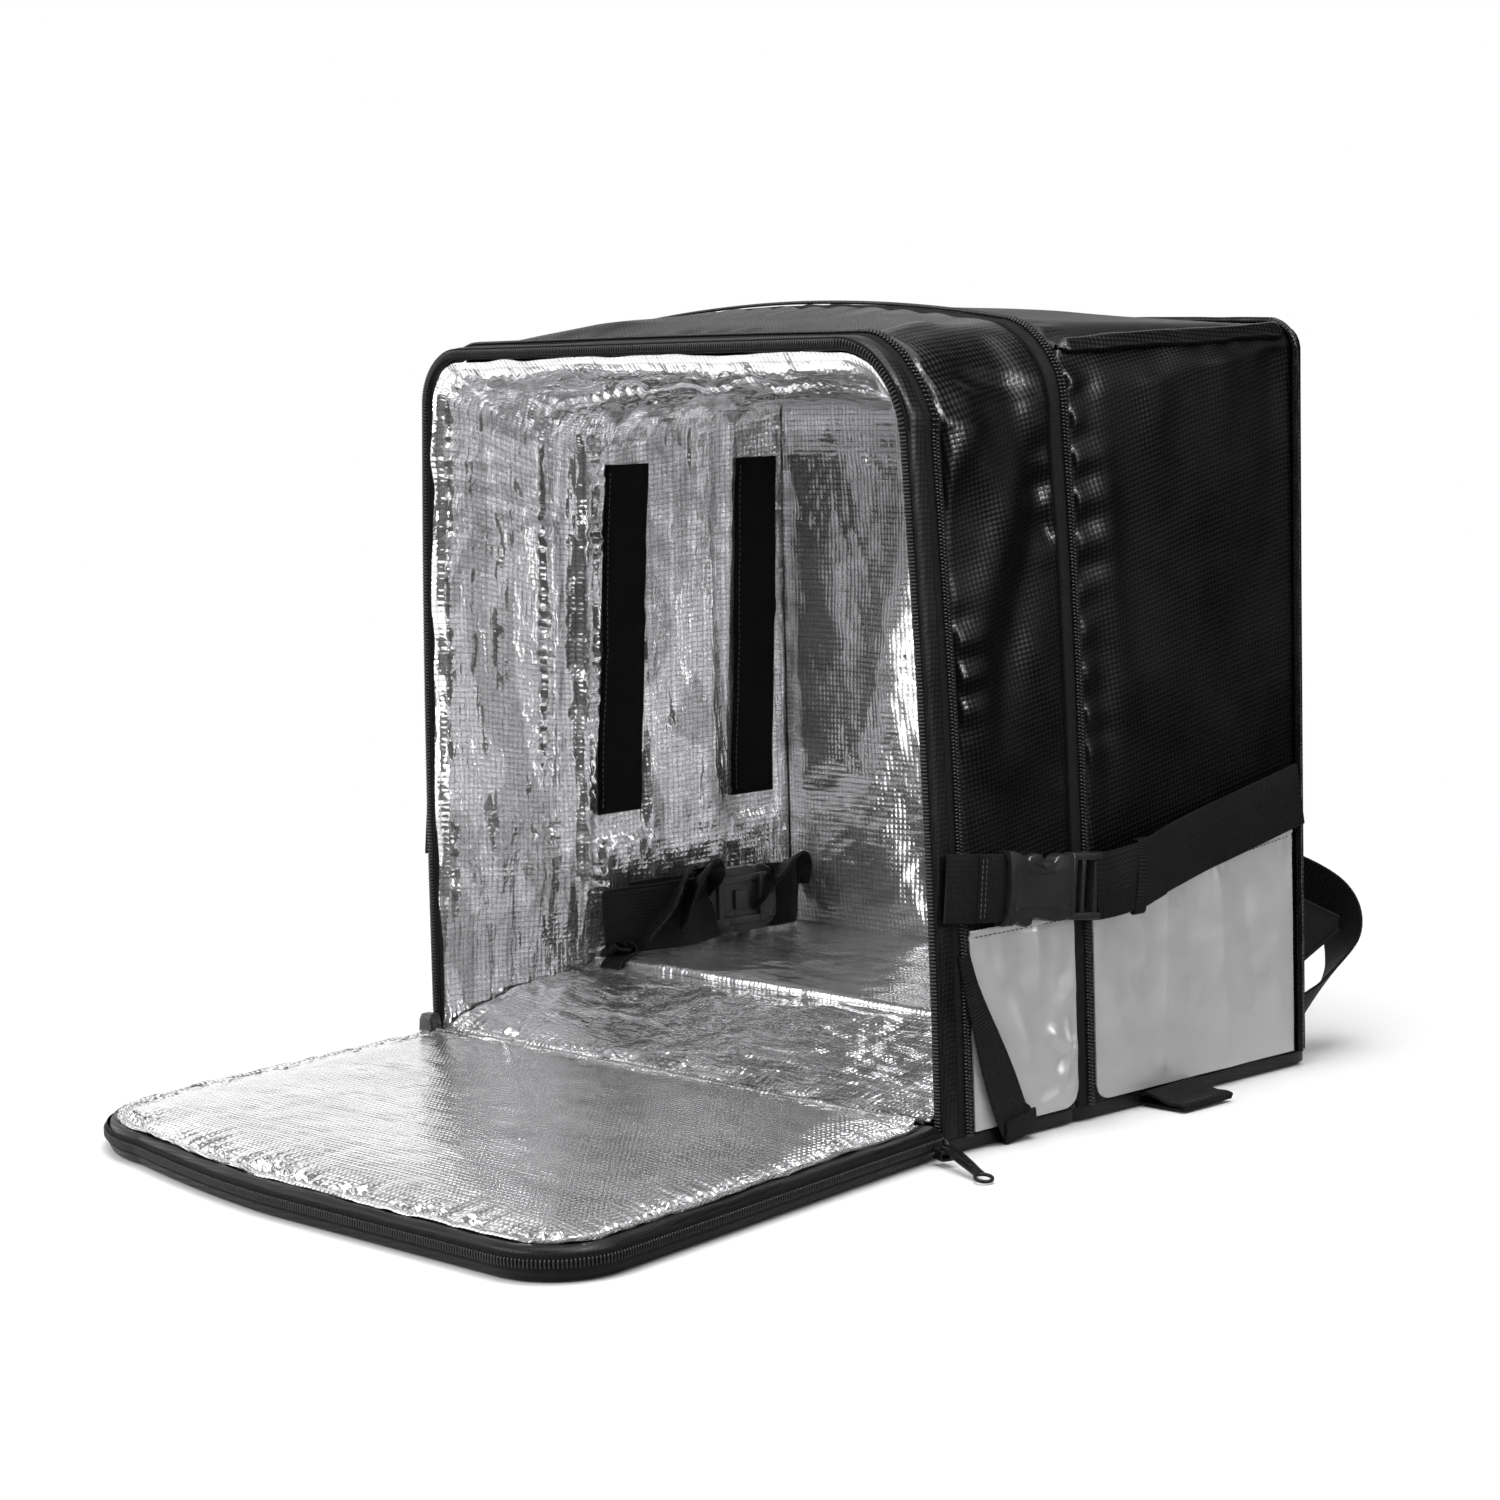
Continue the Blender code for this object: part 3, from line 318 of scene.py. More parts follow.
def foil(place, depth, lift=0.0, inward=0.0):
    """Points of the foil lining, moved inwards by its wave and by inward."""
    points, normals = outline(place, depth, LINING_LIFT + lift)
    points = points - normals * (wave(place, depth) + inward)[..., None]
    lowered = (HEIGHT - ceiling_drop(depth)) / HEIGHT
    points[..., 2] = FOOT + (points[..., 2] - FOOT) * lowered
    return points


def side_share(turn, z, depth):
    """The place in the outline of a height on one side wall."""
    _, _, _, left_bend, right_bend = between(STATIONS, depth / DEPTH)
    radius = HEIGHT * (right_bend if turn > 0 else left_bend)
    share = SIDE_SHARE * (z - FOOT) / (HEIGHT - radius - FOOT)
    return 1 - share if turn > 0 else share


def plain_side(turn, z, depth, lift=0.0):
    """Points on the plain side wall."""
    return outline(side_share(turn, z, depth), depth, lift)[0]


def places_between(start, end, step, depth=0.4 * DEPTH):
    """Places along the outline at even distances, and how far along it each lies, in metres."""
    fine = np.linspace(start, end, 4000)
    points = outline(fine, depth)[0]
    gone = walked_along(points)
    count = max(2, int(round(gone[-1] / step)))
    even = np.linspace(0, gone[-1], count + 1)
    return np.interp(even, gone, fine), even


# Mesh builders

EDGE_ANGLE = 50


def write_uvs(mesh, uvs):
    """Writes the weave's coordinates, in metres for each point, to the mesh's corners."""
    layer = mesh.uv_layers.get("weave") or mesh.uv_layers.new(name="weave")
    corners = np.zeros(len(mesh.loops), np.int32)
    mesh.loops.foreach_get("vertex_index", corners)
    layer.data.foreach_set("uv", np.asarray(uvs, np.float32).reshape(-1, 2)[corners].ravel())


def place_mesh(name, mesh, material, sharp=EDGE_ANGLE):
    """An object of the mesh, shaded smooth but for edges sharper than this many degrees."""
    mesh.shade_smooth()
    if sharp:
        mesh.set_sharp_from_angle(angle=math.radians(sharp))
    mesh.materials.append(materials[material])
    obj = bpy.data.objects.new(name, mesh)
    pieces.objects.link(obj)
    return obj


def add_mesh(name, points, faces, uvs, material, sharp=EDGE_ANGLE):
    """An object of points and faces; uvs holds one pair of metres for each point."""
    mesh = bpy.data.meshes.new(name)
    points = np.asarray(points, np.float32).reshape(-1, 3)
    faces = np.asarray(faces, np.int32)
    mesh.vertices.add(len(points))
    mesh.vertices.foreach_set("co", points.ravel())
    mesh.loops.add(faces.size)
    mesh.loops.foreach_set("vertex_index", faces.ravel())
    mesh.polygons.add(len(faces))
    mesh.polygons.foreach_set("loop_start", np.arange(0, faces.size, faces.shape[1], dtype=np.int32))
    mesh.update(calc_edges=True)
    if uvs is not None:
        write_uvs(mesh, uvs)
    return place_mesh(name, mesh, material, sharp)


def grid_faces(rows, columns, closed=False):
    """Quads over a grid of points held row by row; closed joins its last column to the first."""
    ring = np.arange(columns if closed else columns - 1)
    after = (ring + 1) % columns
    row = np.arange(rows - 1)[:, None] * columns
    return np.stack(
        [row + ring, row + after, row + columns + after, row + columns + ring], -1
    ).reshape(-1, 4)


def metres_along(points, axis):
    """How far each point of a grid lies along one of its directions."""
    steps = np.linalg.norm(np.diff(points, axis=axis), axis=-1)
    gone = np.cumsum(steps, axis=axis)
    pad = [(0, 0), (0, 0)]
    pad[axis] = (1, 0)
    return np.pad(gone, pad)


def sheet_mesh(name, points, material, thickness=0.0, towards=None, flip=False, uvs=None):
    """A sheet from a grid of points. With a thickness, its edges turn back by that much along towards."""
    rows, columns = points.shape[:2]
    if uvs is None:
        uvs = np.stack([metres_along(points, 1), metres_along(points, 0)], -1)
    if thickness:
        back = np.broadcast_to(np.asarray(towards, float), points.shape)
        points, uvs, back = (
            np.pad(grid, [(1, 1), (1, 1), (0, 0)], mode="edge") for grid in (points, uvs, back)
        )
        edge = np.zeros(points.shape[:2], bool)
        edge[0], edge[-1], edge[:, 0], edge[:, -1] = True, True, True, True
        points[edge] += back[edge] * thickness
        uvs[edge] += thickness
        rows, columns = points.shape[:2]
    faces = grid_faces(rows, columns)
    if flip:
        faces = faces[:, ::-1]
    return add_mesh(name, points, faces, uvs, material)


def hoop_mesh(name, rings, material, closed=False, flip=False):
    """A skin over rings of points: rings[i][j] is point j of ring i. closed joins the ends of each ring."""
    points = np.asarray(rings, float)
    rows, columns = points.shape[:2]
    uvs = np.stack([metres_along(points, 1), metres_along(points, 0)], -1)
    faces = grid_faces(rows, columns, closed)
    if flip:
        faces = faces[:, ::-1]
    return add_mesh(name, points, faces, uvs, material)


def rounded_section(width, thickness, rounding, steps=3):
    """The outline of a flat strap's section as pairs across and up, going round once."""
    half, tall = width / 2 - rounding, thickness / 2 - rounding
    section = []
    for corner, (sx, sy) in enumerate(((1, 1), (-1, 1), (-1, -1), (1, -1))):
        for step in range(steps + 1):
            angle = math.pi / 2 * (corner + step / steps)
            section.append((sx * half + rounding * math.cos(angle), sy * tall + rounding * math.sin(angle)))
    return np.array(section)


def smooth_route(points, shares):
    """Points of the smooth curve through these points."""
    points = np.asarray([tuple(point) for point in points], float)
    spans = len(points) - 1
    shares = np.asarray(shares, float)
    index = np.minimum((shares * spans).astype(int), spans - 1)
    t = (shares * spans - index)[..., None]
    before = points[np.maximum(index - 1, 0)]
    start = points[index]
    end = points[index + 1]
    after = points[np.minimum(index + 2, spans)]
    return 0.5 * (
        2 * start
        + (end - before) * t
        + (2 * before - 5 * start + 4 * end - after) * t * t
        + (3 * start - before - 3 * end + after) * t**3
    )


def unit(vectors):
    """Vectors made 1 long."""
    return vectors / np.maximum(np.linalg.norm(vectors, axis=-1, keepdims=True), 1e-12)


def strap_mesh(
    name, route, across, width, thickness, material, step=0.003, last_across=None, middle=0.0, ripple=0.0,
    narrow=1.0
):
    """A flat strap with rounded edges along a smooth route.

    Its width points along across and turns to last_across; middle swells it, ripple waves it
    and narrow is its share of the width at the start.
    """
    rough = smooth_route(route, np.linspace(0, 1, 200))
    length = np.linalg.norm(np.diff(rough, axis=0), axis=1).sum()
    count = max(4, int(length / step))
    shares = np.linspace(0, 1, count + 1)
    spine = smooth_route(route, shares)
    ahead = unit(np.gradient(spine, axis=0))
    first = unit(np.asarray(tuple(across), float))
    last = first if last_across is None else unit(np.asarray(tuple(last_across), float))
    turned = unit(first * (1 - shares[:, None]) + last * shares[:, None])
    normal = unit(np.cross(ahead, turned))
    turned = unit(np.cross(normal, ahead))
    section = rounded_section(width, thickness, thickness * 0.49)
    extra = middle * (1 - (2 * section[:, 0] / width) ** 2) * np.sign(section[:, 1])
    lift = ripple * noise(
        section[:, 0][None] * 60, shares[:, None] * length * 45, len(name)
    ) if ripple else 0.0
    up = section[:, 1][None] + extra[None] + lift
    wide = section[:, 0][None] * mix(narrow, 1.0, smooth(shares, 0.0, 0.5))[:, None]
    points = spine[:, None] + turned[:, None] * wide[..., None] + normal[:, None] * up[..., None]
    gone = shares * length
    uvs = np.stack(np.broadcast_arrays(section[:, 0][None], gone[:, None]), -1)
    faces = [tuple(face) for face in grid_faces(len(points), len(section), True)]
    ring = len(section)
    flat = points.reshape(-1, 3)
    caps = [list(range(ring))[::-1], list(range(len(flat) - ring, len(flat)))]
    mesh = bpy.data.meshes.new(name)
    mesh.from_pydata(flat.tolist(), [], faces + caps)
    write_uvs(mesh, uvs)
    fix_normals(mesh)
    return place_mesh(name, mesh, material)


def fix_normals(mesh):
    """Turns all faces of a mesh outwards."""
    bm = bmesh.new()
    bm.from_mesh(mesh)
    bmesh.ops.recalc_face_normals(bm, faces=bm.faces)
    if bm.calc_volume(signed=True) < 0:
        bmesh.ops.reverse_faces(bm, faces=bm.faces)
    bm.to_mesh(mesh)
    bm.free()


def bar_shape(length, width, height, sides=6):
    """A short rounded bar along x: its points and faces."""
    points, faces = [], []
    for x, scale in ((-0.5, 0.55), (-0.36, 1.0), (0.36, 1.0), (0.5, 0.55)):
        for side in range(sides):
            angle = 2 * math.pi * (side + 0.5) / sides
            points.append(
                (x * length, math.cos(angle) * width / 2 * scale, math.sin(angle) * height / 2 * scale)
            )
    for ring in range(3):
        for side in range(sides):
            after = (side + 1) % sides
            faces.append(
                (
                    ring * sides + side, ring * sides + after, (ring + 1) * sides + after,
                    (ring + 1) * sides + side
                )
            )
    for ring, order in ((0, -1), (3, 1)):
        cap = [ring * sides + side for side in range(sides)][::order]
        faces.append((cap[0], cap[1], cap[2], cap[3]))
        faces.append((cap[0], cap[3], cap[4], cap[5]))
    return np.array(points), np.array(faces)


def repeat_mesh(name, shape, origins, xs, ys, zs, material):
    """Copies of one small shape joined into one mesh, each with its own origin and directions."""
    verts, faces = shape
    points = (
        origins[:, None]
        + xs[:, None] * verts[None, :, 0, None]
        + ys[:, None] * verts[None, :, 1, None]
        + zs[:, None] * verts[None, :, 2, None]
    )
    count = len(origins)
    quads = (faces[None] + (np.arange(count) * len(verts))[:, None, None]).reshape(-1, faces.shape[1])
    return add_mesh(name, points.reshape(-1, 3), quads, None, material, sharp=0)


def even_path(points, step):
    """Points at even distances along a path, and the directions there."""
    points = np.asarray(points, float)
    gone = walked_along(points)
    count = max(1, int(gone[-1] / step))
    where = (np.arange(count) + 0.5) * gone[-1] / count
    made = read_at(where, gone, points)
    ahead = read_at(where + 1e-4, gone, points)
    return made, unit(ahead - made), where


def join(name, objects):
    """Joins objects of one material kind into the first."""
    bpy.ops.object.select_all(action="DESELECT")
    for obj in objects:
        obj.select_set(True)
    bpy.context.view_layer.objects.active = objects[0]
    bpy.ops.object.join()
    objects[0].name = name
    objects[0].data.name = name
    return objects[0]


def settle(obj, slot, *nodes, body="bag", padded=None):
    """Hides the CAD parts that the piece stands for and hangs it on the body that it rides on; slot, its
    material slot, is not used.
    """
    if nodes:
        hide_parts(*nodes)
    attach(obj, body)
    return obj


# Materials

class Nodes:
    """A node tree, with short calls to add nodes to it."""

    def __init__(self, tree):
        self.tree = tree

    def node(self, kind, **settings):
        made = self.tree.nodes.new(kind)
        for key, value in settings.items():
            setattr(made, key, value)
        return made

    def wire(self, source, target):
        self.tree.links.new(source, target)

    def math(self, operation, *values):
        made = self.node("ShaderNodeMath", operation=operation)
        for value, socket in zip(values, made.inputs):
            if isinstance(value, (int, float)):
                socket.default_value = value
            else:
                self.wire(value, socket)
        return made.outputs[0]

    def ramp(self, value, low, high, start=0.0, end=1.0):
        made = self.node("ShaderNodeMapRange", interpolation_type="SMOOTHSTEP")
        self.wire(value, made.inputs["Value"])
        for key, number in (("From Min", low), ("From Max", high), ("To Min", start), ("To Max", end)):
            made.inputs[key].default_value = number
        return made.outputs["Result"]

    def noise(self, vector, scale, detail=3.0, rough=0.55, warp=0.0):
        made = self.node("ShaderNodeTexNoise")
        self.wire(vector, made.inputs["Vector"])
        for key, number in (
            ("Scale", scale), ("Detail", detail), ("Roughness", rough), ("Distortion", warp)
        ):
            made.inputs[key].default_value = number
        return made.outputs["Fac"]

    def mixed(self, share, first, second):
        """A shader between two others."""
        made = self.node("ShaderNodeMixShader")
        for source, socket in zip((share, first, second), made.inputs):
            self.wire(source, socket)
        return made.outputs[0]


class Shader(Nodes):
    """A material, with short calls for its surface."""

    def __init__(self, name, colour, roughness, metallic=0.0, **values):
        self.material = bpy.data.materials.new(name)
        self.material.use_nodes = True
        super().__init__(self.material.node_tree)
        self.bsdf = self.tree.nodes["Principled BSDF"]
        self.bsdf.inputs["Base Color"].default_value = (*colour, 1)
        self.bsdf.inputs["Roughness"].default_value = roughness
        self.bsdf.inputs["Metallic"].default_value = metallic
        for key, value in values.items():
            self.bsdf.inputs[key.replace("_", " ")].default_value = value
        self.normal = None

    def place(self):
        return self.node("ShaderNodeTexCoord").outputs["Object"]

    def weave(self):
        return self.node("ShaderNodeUVMap", uv_map="weave").outputs["UV"]

    def scaled(self, vector, x, y):
        made = self.node("ShaderNodeMapping")
        self.wire(vector, made.inputs["Vector"])
        made.inputs["Scale"].default_value = (x, y, 1)
        return made.outputs["Vector"]

    def cells(self, vector):
        """The distance to the edges of scattered cells, one to a unit."""
        made = self.node("ShaderNodeTexVoronoi", feature="DISTANCE_TO_EDGE")
        self.wire(vector, made.inputs["Vector"])
        made.inputs["Scale"].default_value = 1.0
        return made.outputs["Distance"]

    def bump(self, height, distance, strength=1.0):
        made = self.node("ShaderNodeBump")
        made.inputs["Strength"].default_value = strength
        made.inputs["Distance"].default_value = distance
        self.wire(height, made.inputs["Height"])
        if self.normal is not None:
            self.wire(self.normal, made.inputs["Normal"])
        self.normal = made.outputs["Normal"]
        self.wire(self.normal, self.bsdf.inputs["Normal"])

    def colours(self, value, dark, light):
        made = self.node("ShaderNodeMix", data_type="RGBA")
        self.wire(value, made.inputs["Factor"])
        made.inputs["A"].default_value = (*dark, 1)
        made.inputs["B"].default_value = (*light, 1)
        self.wire(made.outputs["Result"], self.bsdf.inputs["Base Color"])

    def roughness(self, value, low, high):
        self.wire(self.ramp(value, 0.3, 0.7, low, high), self.bsdf.inputs["Roughness"])

    def waves(self, vector, pitch_u, pitch_v):
        """Two sines over the sheet in metres, one along each way of the weave."""
        split = self.node("ShaderNodeSeparateXYZ")
        self.wire(vector, split.inputs[0])
        a = self.math("SINE", self.math("MULTIPLY", split.outputs[0], 2 * math.pi / pitch_u))
        b = self.math("SINE", self.math("MULTIPLY", split.outputs[1], 2 * math.pi / pitch_v))
        return a, b


def grey(value):
    """A hardly bluish grey."""
    return (value, value, value * 1.01)


def make_tarpaulin(name, shade=0.0034, gloss=0.25, weave=0.00006):
    """Coated cloth: very dark, with a fine diagonal grid that shows where light falls on it."""
    made = Shader(name, grey(shade), gloss, Specular_IOR_Level=0.22)
    uv = made.node("ShaderNodeMapping")
    made.wire(made.weave(), uv.inputs["Vector"])
    uv.inputs["Rotation"].default_value = (0, 0, math.radians(38))
    a, b = made.waves(uv.outputs["Vector"], 0.0042, 0.0042)
    checks = made.math("MULTIPLY", a, b)
    dust = made.noise(made.place(), 9.0, 5.0, 0.6)
    soft = made.noise(made.place(), 15.0, 2.0, 0.5)
    made.bump(soft, 0.0040, 0.50)
    made.bump(checks, weave, 0.9)
    made.bump(made.noise(made.place(), 900.0, 2.0), 0.00003, 0.35)
    made.colours(made.ramp(dust, 0.35, 0.75), grey(shade * 0.75), grey(shade * 1.7))
    dusty = made.ramp(dust, 0.3, 0.7, gloss - 0.06, gloss + 0.06)
    gaps = made.ramp(checks, -0.6, 0.3, 0.20, 0.0)
    made.wire(made.math("ADD", dusty, gaps), made.bsdf.inputs["Roughness"])
    return made.material


def make_foil(name, crush=1.0, gloss=0.17, lines=0.36):
    """Aluminised film on a woven scrim: squares of the weave under broad soft wrinkles, with painted dark
    reflections darkening its colour in broad patches.
    """
    made = Shader(name, grey(0.90), gloss, 0.86)
    uv = made.weave()
    a, b = made.waves(uv, 0.0074, 0.0074)
    squares = made.math("MULTIPLY", made.math("ABSOLUTE", a), made.math("ABSOLUTE", b))
    wrinkles = made.noise(made.scaled(uv, 16.0, 44.0), 1.0, 3.0, 0.55, 0.5)
    folds = made.cells(made.scaled(uv, 30.0, 22.0))
    patches = made.noise(uv, 9.0, 3.0)
    pleats = made.cells(made.scaled(uv, 34.0, 120.0))
    broad = made.noise(made.scaled(uv, 7.0, 20.0), 1.0, 2.0, 0.5, 0.9)
    made.bump(broad, 0.0120 * crush, 0.70)
    made.bump(wrinkles, 0.0070 * crush, 0.70)
    made.bump(made.ramp(folds, 0.0, 0.30), 0.0016 * crush, 0.55)
    made.bump(made.ramp(pleats, 0.0, 0.35), 0.0007 * crush, 0.40)
    made.bump(made.noise(uv, 90.0, 2.0, 0.5, 0.6), 0.00050 * crush, 0.25)
    made.bump(squares, 0.00020, 0.80)
    shine = made.ramp(patches, 0.3, 0.7, 0.88, 1.0)
    woven = made.ramp(squares, 0.0, 0.35, 1 - lines, 1.0)
    # Painted reflection of dark things: the colour darkens where the broad wrinkle noise is low
    painted_dark_reflections = made.ramp(broad, 0.40, 0.47, 1 - 0.34 * crush, 1.0)
    bright = made.math("MULTIPLY", made.math("MULTIPLY", shine, woven), painted_dark_reflections)
    made.colours(bright, grey(0.08), grey(0.99))
    made.roughness(made.noise(uv, 22.0, 3.0), gloss - 0.03, gloss + 0.08)
    return made.material


def make_reflective():
    """Reflective tape: pale, finely ribbed and a little creased."""
    made = Shader("reflective_tape", grey(0.50), 0.44, 0.30)
    uv = made.weave()
    a, b = made.waves(uv, 0.0011, 0.0011)
    made.bump(made.noise(made.place(), 24.0, 2.0, 0.5), 0.0030, 0.45)
    made.bump(made.noise(uv, 80.0, 4.0, 0.6, 0.6), 0.0006, 0.35)
    made.bump(made.math("MULTIPLY", a, b), 0.00004, 0.5)
    made.colours(made.noise(uv, 18.0, 4.0), grey(0.42), grey(0.56))
    made.roughness(made.noise(uv, 60.0, 3.0), 0.38, 0.50)
    return made.material


def make_webbing(name, shade=0.0065, pitch_u=0.0030, pitch_v=0.0016, gloss=0.62):
    """Ribbed webbing: short floats across the strap in rows along it."""
    made = Shader(name, grey(shade), gloss, Specular_IOR_Level=0.12)
    a, b = made.waves(made.weave(), pitch_u, pitch_v)
    rows = made.math("MULTIPLY", made.math("ADD", made.math("MULTIPLY", a, 0.55), 0.75), b)
    made.bump(rows, 0.00030, 0.9)
    made.bump(made.noise(made.place(), 1500.0, 2.0), 0.00006, 0.5)
    made.colours(made.noise(made.place(), 60.0, 4.0), grey(shade * 0.6), grey(shade * 1.7))
    return made.material


def make_plastic(name, shade=0.020, gloss=0.30):
    """Moulded plastic, dark and smooth."""
    made = Shader(name, grey(shade), gloss)
    made.bump(made.noise(made.place(), 500.0, 2.0), 0.00002, 0.20)
    made.bump(made.noise(made.place(), 24.0, 1.0), 0.0004, 0.2)
    made.colours(made.noise(made.place(), 60.0, 3.0), grey(shade * 0.85), grey(shade * 1.25))
    made.roughness(made.noise(made.place(), 50.0, 2.0), gloss - 0.04, gloss + 0.06)
    return made.material


def make_tape():
    """Zip tape: fine twill, matt and very dark."""
    made = Shader("zip_tape", grey(0.004), 0.70, Specular_IOR_Level=0.10)
    a, b = made.waves(made.weave(), 0.0012, 0.0012)
    made.bump(made.math("ADD", a, b), 0.00010, 0.8)
    made.colours(made.noise(made.place(), 120.0, 3.0), grey(0.005), grey(0.013))
    return made.material


def make_teeth():
    """Black zip teeth."""
    made = Shader("zip_teeth", grey(0.012), 0.34, Specular_IOR_Level=0.35)
    made.bump(made.noise(made.place(), 900.0, 2.0), 0.00004, 0.4)
    made.colours(made.noise(made.place(), 200.0, 3.0), grey(0.010), grey(0.026))
    return made.material


def make_metal():
    """Black paint on metal, worn to bare in spots."""
    made = Shader("painted_metal", grey(0.022), 0.32, 0.75)
    worn = made.noise(made.place(), 260.0, 5.0, 0.7)
    made.bump(made.noise(made.place(), 700.0, 3.0), 0.00005, 0.5)
    made.colours(made.ramp(worn, 0.58, 0.72), grey(0.018), grey(0.075))
    made.roughness(worn, 0.26, 0.42)
    return made.material


def make_hook_tape():
    """Hook tape: matt, black and rough."""
    made = Shader("hook_tape", grey(0.003), 0.95, Specular_IOR_Level=0.15)
    a, b = made.waves(made.weave(), 0.0016, 0.0016)
    made.bump(made.math("MULTIPLY", a, b), 0.00030, 0.9)
    made.bump(made.noise(made.place(), 1200.0, 3.0), 0.0002, 0.8)
    made.colours(made.noise(made.place(), 140.0, 4.0), grey(0.003), grey(0.008))
    return made.material


def make_thread(name, shade):
    """Sewing thread."""
    made = Shader(name, grey(shade), 0.6, Sheen_Weight=0.2)
    made.bump(made.noise(made.place(), 2500.0, 2.0), 0.00006, 0.6)
    made.colours(made.noise(made.place(), 300.0, 2.0), grey(shade * 0.7), grey(shade * 1.3))
    return made.material


materials = {
    "tarpaulin": make_tarpaulin("tarpaulin"),
    "tarpaulin_soft": make_tarpaulin("tarpaulin_soft", 0.0038, 0.36, 0.00004),
    "foil": make_foil("foil_walls", 1.0, 0.09),
    "foil_smooth": make_foil("foil_smooth", 0.50, 0.10),
    "foil_door": make_foil("foil_door", 0.26, 0.10, 0.40),
    "reflective": make_reflective(),
    "webbing": make_webbing("ribbed_webbing"),
    "plastic": make_plastic("moulded_plastic"),
    "tape": make_tape(),
    "teeth": make_teeth(),
    "metal": make_metal(),
    "hook": make_hook_tape(),
    "thread_black": make_thread("thread_black", 0.020),
    "thread_grey": make_thread("thread_grey", 0.30),
    "thread_dark": make_thread("thread_dark", 0.035),
    "webbing_fine": make_webbing("narrow_webbing", 0.0060, 0.0011, 0.0014),
    "webbing_shiny": make_webbing("satin_webbing", 0.009, 0.0024, 0.0014, 0.34),
    "plastic_shiny": make_plastic("glossy_plastic", 0.022, 0.22),
}
pieces = bpy.data.collections.new("backpack_pieces")
bpy.context.scene.collection.children.link(pieces)


# Outer shell

STEP = 0.0026
PANEL_SLIT = 0.0012
RIGHT_FOLDS = (
    # height, depth share, length, breadth, tilt of the fold, how far it stands out
    (0.405, 0.135, 0.060, 0.011, -0.55, 0.0030),
    (0.330, 0.190, 0.085, 0.014, -0.45, 0.0026),
    (0.260, 0.285, 0.070, 0.012, 0.55, 0.0022),
    (0.345, 0.320, 0.060, 0.010, 0.50, -0.0022),
    (0.215, 0.130, 0.060, 0.012, 0.30, 0.0018),
    (0.190, 0.250, 0.050, 0.012, 0.65, 0.0020),
    (0.395, 0.270, 0.050, 0.009, 0.35, -0.0024),
)


def puckers(along, away, pitch, reach, seed):
    """Short gathers that run away from a seam, from -1 to 1, fading over reach."""
    bent = along / pitch + 0.9 * noise(along / pitch * 0.31, away * 0 + seed, seed)
    depth = clamp(noise(along / pitch * 0.45, away * 0 + 3 * seed, seed + 5) + 0.55)
    long = reach * (0.6 + 0.6 * clamp(noise(along / pitch * 0.6, away * 0, seed + 9) + 0.5))
    return np.sin(2 * math.pi * bent) * depth * np.exp(-((away / long) ** 2))


def shell_relief(place, depth, along):
    """What the CAD's soft folds leave out: fine creases, gathers at the seams and slack cloth."""
    share = depth / DEPTH
    side = np.minimum(place, 1 - place)
    height = clamp(side / SIDE_SHARE) * HEIGHT * 0.88
    flat = smooth(height, BAND_TOP + 0.052, BAND_TOP + 0.085)
    on_side = 1 - smooth(side, SIDE_SHARE * 1.05, SIDE_SHARE + BEND_SHARE)
    total = 0.0
    for up, middle, length, breadth, tilt, size in RIGHT_FOLDS:
        rise = (height - up) * math.cos(tilt) - (share - middle) * DEPTH * math.sin(tilt)
        across = (height - up) * math.sin(tilt) + (share - middle) * DEPTH * math.cos(tilt)
        total = total + size * bump(across, breadth) * bump(rise, length)
    total = total * on_side
    # Gathers at both sides of the gusset and behind the seam band
    in_gusset = (depth > RING_DEPTH) & (depth < GUSSET_END)
    in_main = depth > MAIN_START - 0.001
    front = puckers(along, depth - RING_DEPTH, 0.031, 0.020, 3)
    rear = puckers(along, GUSSET_END - depth, 0.027, 0.022, 4)
    behind = puckers(along, depth - MAIN_START, 0.024, 0.017, 6)
    total = total + np.where(in_gusset, 0.0011 * front + 0.0012 * rear, 0.0)
    total = total + np.where(in_main, 0.0013 * behind, 0.0)
    # Gathers under the rolled seams
    for seam in (LEFT_SEAM, RIGHT_SEAM):
        below = np.where(np.abs(place - 0.5) > abs(seam - 0.5), np.abs(place - seam), 9.0)
        hang = puckers(depth, below, 0.036, 0.075, 8 if seam > 0.5 else 9)
        total = total + np.where(in_main, 0.0016 * hang * smooth(below, 0.0, 0.012), 0.0)
    slack = 0.0009 * noise(along * 14, depth * 16, 21) + 0.0005 * noise(along * 38, depth * 30, 22)
    crease = 0.0008 * (creases(along * 9, depth * 9, 23, 3) - 0.25)
    total = total + (slack + crease) * np.where(in_gusset, 1.0, 0.55)
    edges = clamp(np.minimum(np.abs(depth - RING_DEPTH), np.abs(depth - GUSSET_END)) / 0.004)
    edges = np.where(
        in_main, clamp((depth - MAIN_START) / 0.003) * clamp((MAIN_END - depth) / 0.006), edges
    )
    return total * flat * edges


def shell_sheet(name, places, depths, nodes, material="tarpaulin", relief=1.0, step=STEP):
    """A panel of the outer shell with its folds and fine relief, its edges turned in."""
    where, along = places_between(*places, step)
    rows = max(2, int(round((depths[1] - depths[0]) / step)))
    deep = np.linspace(*depths, rows + 1)
    place, depth = np.meshgrid(where, deep)
    gone = np.broadcast_to(along, place.shape)
    points, normals = outline(place, depth)
    lift = fold(place, depth) + relief * shell_relief(place, depth, gone)
    lift = np.minimum(lift, FOLD_HEIGHT + 0.002)
    ends = np.minimum(depth - depths[0], depths[1] - depth)
    lift = lift - 0.0012 * (1 - clamp(ends / 0.0022)) ** 2
    points = points + normals * lift[..., None]
    uvs = np.stack([gone, depth], -1)
    obj = sheet_mesh(name, points, material, 0.004, -normals, flip=True, uvs=uvs)
    return settle(obj, "tarpaulin", *nodes)


